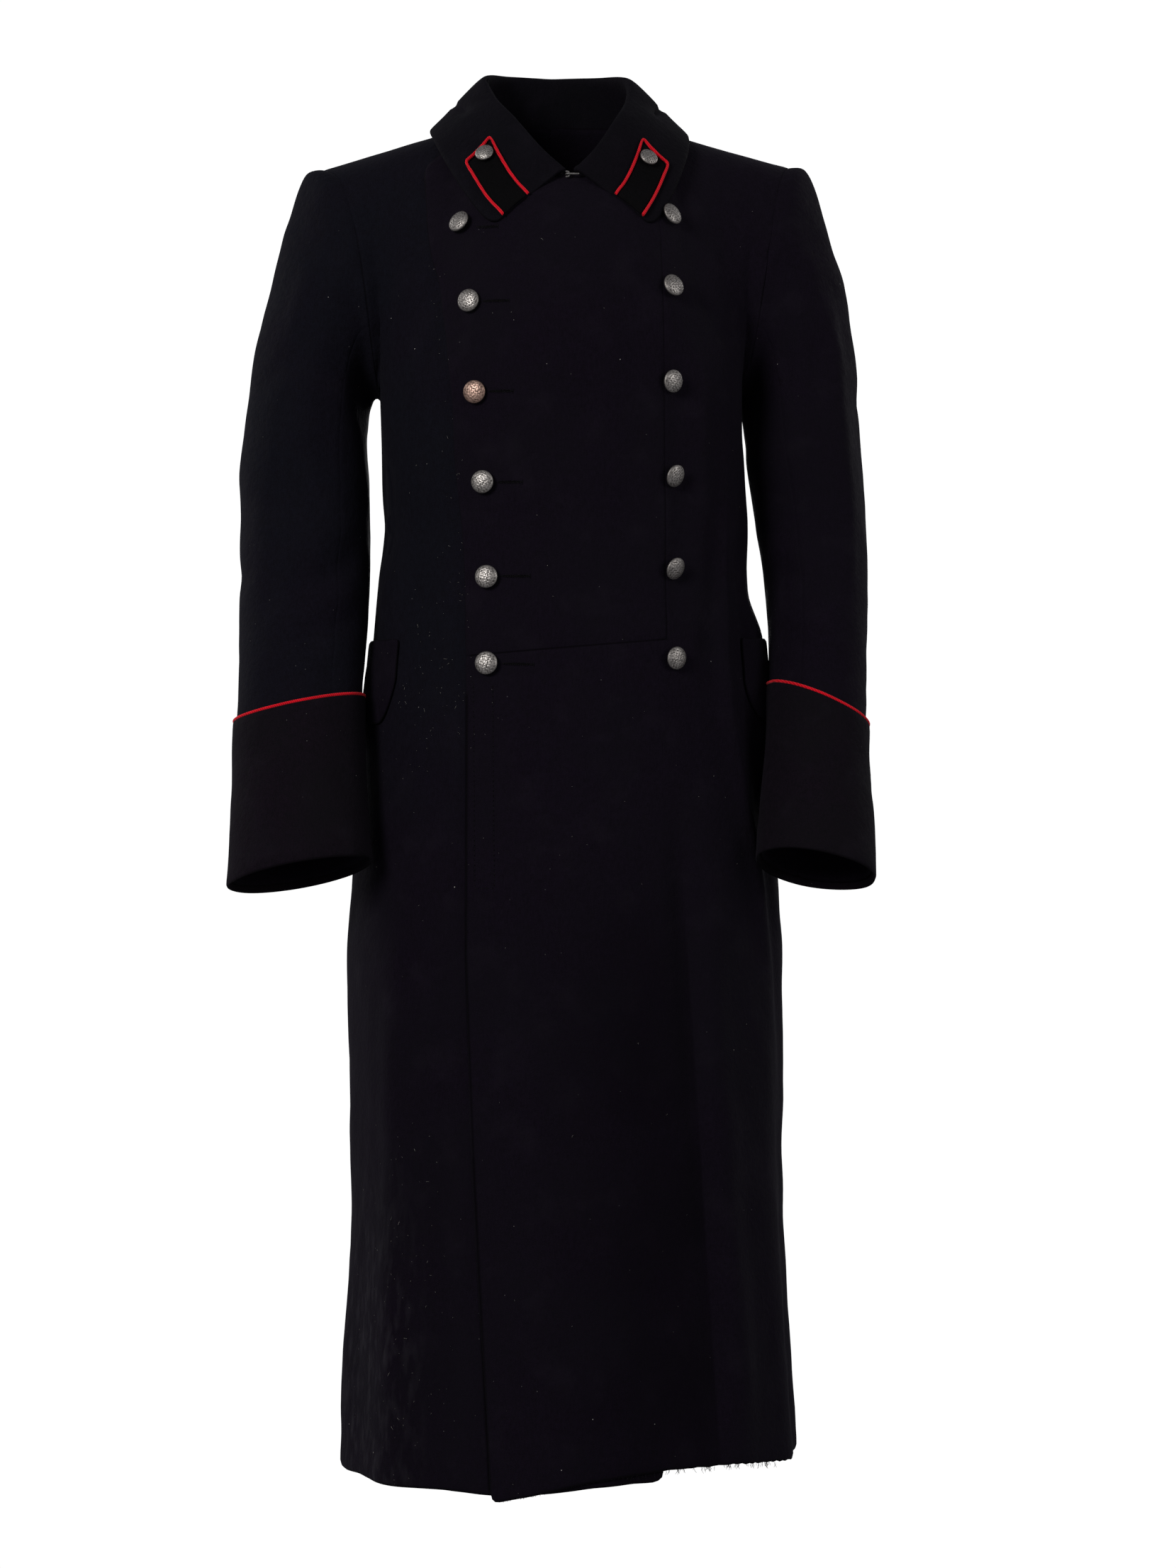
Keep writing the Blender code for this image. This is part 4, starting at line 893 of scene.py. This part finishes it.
@dataclass
class Tailor:
    """Makes the cloth pieces from their solids.

    Args:
        nodes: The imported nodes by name.
        drape: The displacement of the cloth.
        finishes: The materials made so far, by name.
    """

    nodes: dict
    drape: Drape
    finishes: dict = field(default_factory=dict)
    made: dict = field(default_factory=dict)

    LONGEST = 0.030
    RIM_CREASE = 0.22
    RIM_ANGLE = math.radians(42)
    RIM_BEND = (0.10, 0.35)
    WELD = 2e-6
    FLATTEST = math.radians(35)
    SQUAREST = math.radians(75)
    CLOTH_LEVELS = 2
    COLLAR_SHARE = 0.25
    SEAM_GROOVE = 0.00050
    FITTING_ROUNDS = 2
    FITTING_STEP = 0.9

    def material(self, finish: Wool) -> bpy.types.Material:
        """The material of a finish, made once."""
        if finish.name not in self.finishes:
            self.finishes[finish.name] = wool_material(finish)
        return self.finishes[finish.name]

    def refined(self, node: str, levels: int) -> bpy.types.Mesh:
        """A node's solid as a smooth mesh: quads, shorter cells, soft rims."""
        shape = bmesh.new()
        shape.from_mesh(self.nodes[node].data)
        bmesh.ops.remove_doubles(shape, verts=shape.verts, dist=self.WELD)
        bmesh.ops.join_triangles(shape, faces=shape.faces, angle_face_threshold=self.FLATTEST,
                                 angle_shape_threshold=self.SQUAREST)
        crease = shape.edges.layers.float.new("crease_edge")
        rims = [edge for edge in shape.edges
                if edge.is_manifold and edge.calc_face_angle(0.0) > self.RIM_ANGLE]
        for edge in rims:
            edge[crease] = self.RIM_CREASE
        tall = [edge for edge in shape.edges if edge.calc_length() > self.LONGEST]
        bmesh.ops.subdivide_edges(shape, edges=tall, cuts=1, use_grid_fill=True)
        mesh = bpy.data.meshes.new(node + "_coarse")
        shape.to_mesh(mesh)
        shape.free()
        coarse = bpy.data.objects.new(node + "_coarse", mesh)
        bpy.context.scene.collection.objects.link(coarse)
        rounded = coarse.modifiers.new("rounded", "SUBSURF")
        rounded.levels = rounded.render_levels = levels
        wanted = points_of(mesh)
        cage = wanted.copy()
        for _ in range(self.FITTING_ROUNDS):
            fine = self.evaluated(coarse)
            cage += (wanted - points_of(fine)[:len(wanted)]) * self.FITTING_STEP
            bpy.data.meshes.remove(fine)
            mesh.vertices.foreach_set("co", cage.ravel())
            mesh.update()
        fine = self.evaluated(coarse)
        bpy.data.objects.remove(coarse)
        return fine

    @staticmethod
    def evaluated(made: bpy.types.Object) -> bpy.types.Mesh:
        """The object's mesh with its modifiers."""
        made.data.update()
        made.update_tag()
        view = bpy.context.evaluated_depsgraph_get()
        view.update()
        return bpy.data.meshes.new_from_object(made.evaluated_get(view))

    def moved(self, node: str, points: np.ndarray) -> np.ndarray:
        """Points of a node after the drape."""
        if node.startswith(("sleeve", "cuff")):
            return points + self.drape.sleeve(points, side_of(node))
        if "collar" in node:
            return points + self.drape.body(points) * self.COLLAR_SHARE + self.drape.collar(points)
        return points + self.drape.body(points)

    def open_seams(self, mesh: bpy.types.Mesh, points: np.ndarray) -> np.ndarray:
        """Rim points drawn in a little, so that a seam shows as a groove, and marked for its shade."""
        bend = np.zeros(len(points))
        normal = normals_of(mesh)
        for edge in mesh.edges:
            a, b = edge.vertices
            turn = 1.0 - float(normal[a] @ normal[b])
            bend[a] = max(bend[a], turn)
            bend[b] = max(bend[b], turn)
        rim = rise(bend, *self.RIM_BEND)
        mesh.attributes.new("rim", "FLOAT", "POINT").data.foreach_set("value", rim)
        return points - normal * rim[:, None] * self.SEAM_GROOVE

    def sew(self, cut: Cut) -> bpy.types.Object:
        """Makes and seats one cloth piece."""
        mesh = self.refined(cut.node, self.CLOTH_LEVELS)
        points = self.open_seams(mesh, points_of(mesh))
        mesh.vertices.foreach_set("co", self.moved(cut.node, points).ravel())
        mesh.update()
        piece = link("wool_" + cut.node, mesh, self.material(cut.finish))
        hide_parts(cut.node)
        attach(piece, BODY)
        self.made[cut.node] = piece
        return piece


def tree_of(pieces: Sequence[bpy.types.Object]) -> BVHTree:
    """One search tree over several pieces."""
    points, faces = [], []
    for piece in pieces:
        base = len(points)
        points += [vertex.co.copy() for vertex in piece.data.vertices]
        faces += [[base + index for index in face.vertices] for face in piece.data.polygons]
    return BVHTree.FromPolygons(points, faces)


class Buttonhole(NamedTuple):
    """A worked buttonhole, from its end at the button to its far one, which lies lower."""

    number: int
    x: float
    z: float
    length: float
    droop: float


BUTTONHOLES = (
    Buttonhole(1, -0.0815, -0.0985, 0.0170, 0.0010),
    Buttonhole(2, -0.0790, -0.1655, 0.0215, 0.0006),
    Buttonhole(3, -0.0755, -0.2430, 0.0200, 0.0004),
    Buttonhole(4, -0.0685, -0.3200, 0.0205, 0.0004),
    Buttonhole(5, -0.0660, -0.4000, 0.0240, 0.0002),
    Buttonhole(6, -0.0665, -0.4745, 0.0260, 0.0010),
)

# The stitched strip on the overlap: each row's ends as (x, z)
STRIP_ROWS = (
    ((-0.0905, -0.492), (-0.0915, -0.664)),
    ((-0.0745, -0.492), (-0.0755, -0.664)),
    ((-0.0915, -0.6645), (-0.0755, -0.6645)),
)


@dataclass
class Notions:
    """Makes buttons, piping, stitches, buttonholes and the hook and eye.

    Args:
        tailor: The maker of the cloth, which the notions lie on.
        front: A search tree over the front's cloth.
    """

    tailor: Tailor
    front: BVHTree
    materials: dict = field(default_factory=dict)

    DOME_RINGS = 26
    DOME_EDGE = 0.0040
    DOME_RISE = 0.0048
    DOME_TURN = 0.95
    DRAWN_RADIUS = 0.0108
    RELIEF_ABOVE = 0.0047
    RELIEF_HEIGHT = 0.00028
    PLAIN = 0.2
    DOME_FOOT = ((1.0, 0.0046), (0.985, 0.0040), (0.93, 0.0035), (0.60, 0.0030), (0.31, 0.0027),
                 (0.29, 0.0010), (0.29, -0.0006))
    LEANS = {"button_left_4": (16.0, -20.0), "button_left_5": (16.0, -24.0), "button_left_3": (6.0, -8.0),
             "button_left_2": (-4.0, 4.0), "button_left_6": (6.0, -10.0), "button_right_1": (-4.0, 8.0)}
    AROUND = 72
    CORD_SLIMMER = 0.00015
    WIRE_STOUTER = 0.00018
    CORD_LEVELS = 3
    WIRE_LEVELS = 2
    STITCH_PITCH = 0.0042
    STITCH_RADIUS = 0.00032
    HOLE_STITCHES = 46
    HOLE_HALF_WIDTH = 0.0016
    HOLE_THREAD = 0.00036
    SLIT_STEPS = 12
    SLIT_HALF_WIDTH = 0.0007
    LINT_RADIUS = 0.00014
    LINT_STEEPEST = -0.25
    LINT_SHORT = (0.0004, 0.0014)
    LINT_LONG = (0.002, 0.004)
    BUTTON_SHARE = 0.90

    def material(self, finish: Metal | Yarn) -> bpy.types.Material:
        """The material of a finish, made once."""
        if finish.name not in self.materials:
            make = metal_material if isinstance(finish, Metal) else yarn_material
            self.materials[finish.name] = make(finish)
        return self.materials[finish.name]

    def seat(self, piece: bpy.types.Object, slot: str, *nodes: str) -> None:
        """Seats a piece on the coat, in place of its nodes."""
        if nodes:
            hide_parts(*nodes)
        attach(piece, BODY)

    @staticmethod
    def relief(radius: float, turn: float) -> float:
        """The button's raised pattern, plain worn leaf-work all over the dome, from 0 to 1."""
        across, up = radius * math.cos(turn), radius * math.sin(turn)
        leaves = math.sin(13.0 * across + 3.0 * math.sin(9.0 * up))
        leaves *= math.sin(12.0 * up - 2.0 * math.sin(8.0 * across))
        veins = math.sin(23.0 * across - 11.0 * up + 2.0 * math.sin(15.0 * up))
        curls = math.sin(21.0 * up + 9.0 * across + 2.5 * math.sin(13.0 * across))
        shape = 0.58 + 0.26 * leaves + 0.13 * veins + 0.13 * curls
        boss = 0.3 * math.exp(-((radius / 0.2) ** 2))
        fade = 1.0 - float(rise(radius, 0.88, 0.98))
        return min(1.0, max(0.0, (shape - 0.28) * 1.9) * fade + boss + 0.45 * (1.0 - fade))

    def button(self, node: str, finish: Metal, slot: str) -> bpy.types.Object:
        """A domed metal button, seated where its solid is."""
        solid = points_of(self.tailor.nodes[node].data)
        middle = solid.mean(axis=0)
        values, axes = np.linalg.eigh(np.cov((solid - middle).T))
        gaps = [abs(values[1] - values[2]), abs(values[0] - values[2]), abs(values[0] - values[1])]
        axis = axes[:, int(np.argmin(gaps))]
        axis = axis if axis[1] < 0 else -axis
        along = (solid - middle) @ axis
        radius = float(np.linalg.norm((solid - middle) - along[:, None] * axis, axis=1).max())
        radius *= self.BUTTON_SHARE
        foot = middle + axis * along.min()
        foot = foot + self.tailor.moved(node, foot[None])[0] - foot
        chance = random.Random(node)
        spin = chance.uniform(0, 2 * math.pi)
        shape = bmesh.new()
        layer = shape.verts.layers.float.new("relief")
        rings = []
        scale = radius / self.DRAWN_RADIUS
        for share, height in self.dome():
            ring = []
            for step in range(self.AROUND if share > 0 else 1):
                turn = 2 * math.pi * step / self.AROUND
                raised = self.relief(share, turn + spin) if height > self.RELIEF_ABOVE else self.PLAIN
                point = shape.verts.new((share * radius * math.cos(turn), share * radius * math.sin(turn),
                                         (height + self.RELIEF_HEIGHT * raised) * scale))
                point[layer] = raised
                ring.append(point)
            rings.append(ring)
        for upper, lower in zip(rings, rings[1:]):
            for step in range(self.AROUND):
                after = (step + 1) % self.AROUND
                if len(upper) == 1:
                    shape.faces.new((upper[0], lower[step], lower[after]))
                else:
                    shape.faces.new((upper[step], lower[step], lower[after], upper[after]))
        shape.faces.new(list(reversed(rings[-1])))
        bmesh.ops.recalc_face_normals(shape, faces=shape.faces)
        right, down = self.LEANS.get(node, (chance.uniform(-3, 3), chance.uniform(-3, 3)))
        lean = Vector((math.tan(math.radians(right)), 0.0, math.tan(math.radians(down))))
        tilt = (Vector(axis) + lean).to_track_quat("Z", "Y").to_matrix().to_4x4()
        lift = Vector(axis) * radius * 0.45 * math.sin(math.radians(math.hypot(right, down)))
        shape.transform(Matrix.Translation(Vector(foot) + lift) @ tilt)
        mesh = bpy.data.meshes.new("metal_" + node)
        shape.to_mesh(mesh)
        shape.free()
        piece = link("metal_" + node, mesh, self.material(finish))
        self.seat(piece, slot, node)
        return piece

    def dome(self) -> list[tuple[float, float]]:
        """The button's profile, from the top of its dome to the shank behind."""
        shares = [i / self.DOME_RINGS for i in range(self.DOME_RINGS + 1)]
        top = [(r, self.DOME_EDGE + self.DOME_RISE * math.sqrt(1.0 - (self.DOME_TURN * r) ** 2))
               for r in shares]
        return top + list(self.DOME_FOOT)

    def piping(self, node: str) -> bpy.types.Object:
        """Red cord along its solid's route, round again and moved with the cloth."""
        mesh = self.tailor.refined(node, self.CORD_LEVELS)
        points = points_of(mesh) - normals_of(mesh) * self.CORD_SLIMMER
        over = "cuff_" + node.rsplit("_", 1)[-1] if node.startswith("cuff") else "collar"
        mesh.vertices.foreach_set("co", self.tailor.moved(over, points).ravel())
        mesh.update()
        piece = link("cord_" + node, mesh, self.material(RED_CORD))
        self.seat(piece, "red_piping", node)
        return piece

    def wire(self, node: str) -> bpy.types.Object:
        """The hook or the eye as smooth wire."""
        mesh = self.tailor.refined(node, self.WIRE_LEVELS)
        points = points_of(mesh) + normals_of(mesh) * self.WIRE_STOUTER
        mesh.vertices.foreach_set("co", self.tailor.moved(node, points).ravel())
        mesh.update()
        piece = link("wire_" + node, mesh, self.material(WIRE))
        self.seat(piece, "dark_steel", node)
        return piece

    def on_front(self, x: float, z: float) -> tuple[Vector, Vector]:
        """Where a line from the front meets the cloth, with the outward normal."""
        place, normal, _, _ = self.front.ray_cast(Vector((x, -0.6, z)), Vector((0.0, 1.0, 0.0)))
        if place is None:
            raise ValueError(f"no cloth at x {x:.3f}, z {z:.3f}")
        return place, normal if normal.y < 0 else -normal

    def tubes(self, name: str, routes: Sequence[Sequence[Vector]], radius: float, finish: Yarn, slot: str,
              sides: int = 5) -> bpy.types.Object:
        """Many thin closed tubes in one mesh, tapered at their ends."""
        shape = bmesh.new()
        turns = [2 * math.pi * i / sides for i in range(sides)]
        for route in routes:
            rings = []
            for index, point in enumerate(route):
                ahead = route[min(index + 1, len(route) - 1)] - route[max(index - 1, 0)]
                frame = ahead.to_track_quat("Z", "Y").to_matrix()
                size = radius * (0.45 if index in (0, len(route) - 1) else 1.0)
                circle = [Vector((size * math.cos(turn), size * math.sin(turn), 0)) for turn in turns]
                rings.append([shape.verts.new(point + frame @ spot) for spot in circle])
            for low, high in zip(rings, rings[1:]):
                for i in range(sides):
                    j = (i + 1) % sides
                    shape.faces.new((low[i], low[j], high[j], high[i]))
            shape.faces.new(list(reversed(rings[0])))
            shape.faces.new(rings[-1])
        mesh = bpy.data.meshes.new(name)
        shape.to_mesh(mesh)
        shape.free()
        piece = link(name, mesh, self.material(finish))
        self.seat(piece, slot)
        return piece

    def stitch_rows(self) -> bpy.types.Object:
        """The stitched strip below the waist on the overlap, closed at its foot."""
        routes = []
        for top, foot in STRIP_ROWS:
            length = math.hypot(foot[0] - top[0], foot[1] - top[1])
            count = max(3, round(length / self.STITCH_PITCH))
            for i in range(count):
                places = [(i + part) / count for part in (0.14, 0.38, 0.62, 0.86)]
                stitch = []
                for order, share in enumerate(places):
                    x = top[0] + (foot[0] - top[0]) * share
                    z = top[1] + (foot[1] - top[1]) * share
                    place, normal = self.on_front(x, z)
                    stitch.append(place + normal * (0.00022 if order in (1, 2) else -0.0001))
                routes.append(stitch)
        return self.tubes("thread_overlap_strip", routes, self.STITCH_RADIUS, BLACK_THREAD, "black_wool")

    def buttonhole(self, hole: Buttonhole) -> None:
        """Close stitches round a slit, a bar at its far end, and a dark sheet over the slit that paints
        the shade inside it.
        """
        name = f"buttonhole_{hole.number}"
        x, z, length, droop = hole.x, hole.z, hole.length, hole.droop
        routes = []
        for i in range(self.HOLE_STITCHES):
            turn = 2 * math.pi * i / self.HOLE_STITCHES
            across = x + length / 2 * (1.0 + math.cos(turn))
            up = z - droop * (across - x) / length + self.HOLE_HALF_WIDTH * math.sin(turn)
            inward = Vector((-math.cos(turn) * 0.6, 0, -math.sin(turn)))
            place, normal = self.on_front(across, up + 0.0002 * math.sin(i * 2.4))
            start = place + normal * 0.0002
            routes.append([start, start + inward * 0.0006 + normal * 0.00045,
                           start + inward * 0.0013 - normal * 0.0001])
        bar = [self.on_front(x + length + 0.0004, z - droop + dz) for dz in (-0.0022, 0.0, 0.0022)]
        routes.append([place + normal * 0.0004 for place, normal in bar])
        self.tubes("thread_" + name, routes, self.HOLE_THREAD, BLACK_THREAD, "black_wool")
        # painted shade: a near-black sheet just over the cloth, standing for the shadow inside the slit
        slit = bmesh.new()
        upper, lower = [], []
        for i in range(self.SLIT_STEPS + 1):
            share = i / self.SLIT_STEPS
            across = x + length * (0.04 + 0.92 * share)
            gap = self.SLIT_HALF_WIDTH * math.sin(math.pi * share) ** 0.5
            up = z - droop * share
            for group, edge in ((upper, up + gap), (lower, up - gap)):
                place, normal = self.on_front(across, edge)
                group.append(slit.verts.new(place + normal * 0.00012))
        for a, b, c, d in zip(upper, upper[1:], lower[1:], lower):
            slit.faces.new((a, b, c, d))
        mesh = bpy.data.meshes.new("slit_" + name)
        slit.to_mesh(mesh)
        slit.free()
        piece = link("slit_" + name, mesh, self.tailor.material(TAB_VELVET))
        self.seat(piece, "black_wool")

    def lint(self, count: int) -> None:
        """Short loose fibres lying on the cloth, thickest low on the right and at the right hip."""
        chance = random.Random(41)
        routes = []
        while len(routes) < count:
            pick = chance.random()
            if pick < 0.35:
                x, z = chance.gauss(-0.150, 0.020), chance.uniform(-1.14, -0.86)
            elif pick < 0.60:
                x, z = chance.gauss(-0.125, 0.022), chance.gauss(-0.50, 0.05)
            elif pick < 0.72:
                z = chance.uniform(-0.45, -0.12)
                x = -0.119 + (0.12 + z) * -0.075 + chance.gauss(0.0, 0.0025)
            else:
                x, z = chance.uniform(-0.16, 0.16), chance.uniform(-1.12, -0.10)
            hit, normal, _, _ = self.front.ray_cast(Vector((x, -0.6, z)), Vector((0.0, 1.0, 0.0)))
            if hit is None or normal.y > self.LINT_STEEPEST:
                continue
            turn, bend = chance.uniform(0, math.pi), chance.uniform(-1.2, 1.2)
            short = chance.random() < 0.88
            length = chance.uniform(*(self.LINT_SHORT if short else self.LINT_LONG))
            route, spot = [], hit + normal * 0.0003
            for _ in range(4):
                route.append(spot.copy())
                step = Vector((math.cos(turn), 0.0, math.sin(turn)))
                step -= normal * step.dot(normal)
                spot = spot + step.normalized() * length / 3
                turn += bend / 3
            routes.append(route)
        self.tubes("lint_fibres", routes, self.LINT_RADIUS, GREY_LINT, "black_wool", 4)


LINT_COUNT = 230
FRAY_COUNT = 190
FRAY_RADIUS = 0.00022
FRAYED = (-0.07, 0.165)


def fray_hem(notions: Notions, count: int) -> None:
    """Loose dark fibres hanging from the raw hem at the front."""
    chance = random.Random(5)
    routes = []
    points = points_of(notions.tailor.made["front_left"].data)
    low = points[(points[:, 1] < -0.06) & (points[:, 2] < -1.12)]
    for _ in range(count):
        across = chance.uniform(*FRAYED)
        near = low[np.abs(low[:, 0] - across) < 0.005]
        if not len(near):
            continue
        spot = Vector(near[near[:, 2].argmin()])
        length = chance.uniform(0.0015, 0.0045) * (1.3 if across > 0.03 else 0.4)
        drift = Vector((chance.uniform(-0.6, 0.6), chance.uniform(-0.3, 0.3), -1.0)).normalized()
        swerve = Vector((chance.uniform(-0.5, 0.5), chance.uniform(-0.3, 0.3), -0.6)).normalized()
        spot += Vector((chance.uniform(-0.002, 0.002), chance.uniform(-0.0005, 0.0005), 0.0006))
        routes.append([spot, spot + drift * length * 0.5, spot + (drift + swerve).normalized() * length])
    notions.tubes("fray_hem_front", routes, FRAY_RADIUS, BLACK_THREAD, "black_wool", 3)


# Light and camera


SENSOR_MM = 36.0
AMBIENT = 0.30
SEEN_WHITE = 1.02


@dataclass(frozen=True)
class Shot:
    """The photograph's view.

    Args:
        place: Where the camera stands.
        target: What it looks at.
        roll: How far it leans, in degrees.
        tall: Height of what it sees at the target, in metres.
    """

    place: tuple[float, float, float] = (-0.3186, -2.9831, -0.577)
    target: tuple[float, float, float] = (0.0210, -0.0024, -0.577)
    roll: float = -0.5
    tall: float = 1.3936

    def make_camera(self) -> None:
        """Puts the camera in the scene."""
        data = bpy.data.cameras.new("camera")
        camera = bpy.data.objects.new("camera", data)
        bpy.context.scene.collection.objects.link(camera)
        look = Vector(self.target) - Vector(self.place)
        data.sensor_width = SENSOR_MM
        data.lens = SENSOR_MM / 2 / (self.tall / 2 / look.length)
        turned = look.to_track_quat("-Z", "Y").to_matrix().to_4x4()
        lean = Matrix.Rotation(math.radians(self.roll), 4, "Z")
        camera.matrix_world = Matrix.Translation(self.place) @ turned @ lean
        bpy.context.scene.camera = camera


class Lamp(NamedTuple):
    """A soft light."""

    name: str
    place: tuple[float, float, float]
    target: tuple[float, float, float]
    size: float
    power: float


LAMPS = (
    Lamp("key", (-2.2, -2.8, 0.8), (0.0, 0.0, -0.5), 1.3, 98.0),
    Lamp("fill", (2.6, -2.2, 0.4), (0.0, 0.0, -0.6), 1.8, 34.0),
    Lamp("back_left", (-2.2, 1.4, 0.6), (0.0, 0.0, -0.5), 1.2, 26.0),
    Lamp("back_right", (2.2, 1.5, 0.6), (0.0, 0.0, -0.5), 1.2, 14.0),
    Lamp("rear", (0.6, 3.2, 0.4), (0.0, 0.0, -0.5), 1.6, 70.0),
)


def make_lights() -> None:
    """The lamps and the bright studio round them."""
    for lamp in LAMPS:
        data = bpy.data.lights.new(lamp.name, "AREA")
        data.shape = "DISK"
        data.size = lamp.size
        data.energy = lamp.power
        made = bpy.data.objects.new(lamp.name, data)
        made.location = lamp.place
        made.rotation_mode = "QUATERNION"
        made.rotation_quaternion = (Vector(lamp.target) - Vector(lamp.place)).to_track_quat("-Z", "Y")
        bpy.context.scene.collection.objects.link(made)
    world = bpy.data.worlds.new("studio")
    world.use_nodes = True
    tree = world.node_tree
    seen = tree.nodes["Background"]
    seen.inputs["Color"].default_value = linear("ffffff")
    seen.inputs["Strength"].default_value = SEEN_WHITE
    cast = tree.nodes.new("ShaderNodeBackground")
    cast.inputs["Color"].default_value = linear("f6f7ff")
    cast.inputs["Strength"].default_value = AMBIENT
    rays = tree.nodes.new("ShaderNodeLightPath")
    either = tree.nodes.new("ShaderNodeMixShader")
    tree.links.new(rays.outputs["Is Camera Ray"], either.inputs[0])
    tree.links.new(cast.outputs[0], either.inputs[1])
    tree.links.new(seen.outputs[0], either.inputs[2])
    tree.links.new(either.outputs[0], tree.nodes["World Output"].inputs["Surface"])
    bpy.context.scene.world = world
    settings = bpy.context.scene.view_settings
    settings.view_transform = "Standard"
    settings.look = "None"
    settings.exposure = 0.0
    settings.gamma = 1.0


def main() -> None:
    """Builds the looks of the coat."""
    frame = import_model()
    tailor = Tailor(frame["nodes"], Drape())
    for cut in CUTS:
        tailor.sew(cut)
    front = tree_of([tailor.made[name] for name in ("front_left", "front_right", "plastron")])
    notions = Notions(tailor, front)
    for node in sorted(frame["nodes"]):
        if node == "button_right_3":
            notions.button(node, TAWNY, "brass")
        elif node.startswith("button"):
            notions.button(node, PEWTER, "pewter")
        elif "piping" in node:
            notions.piping(node)
        elif node in ("collar_hook", "collar_eye"):
            notions.wire(node)
    for hole in BUTTONHOLES:
        notions.buttonhole(hole)
    notions.stitch_rows()
    notions.lint(LINT_COUNT)
    fray_hem(notions, FRAY_COUNT)
    make_lights()
    Shot().make_camera()


if __name__ == "__main__":
    logging.basicConfig(level=logging.INFO, format="%(name)s: %(message)s")
    main()
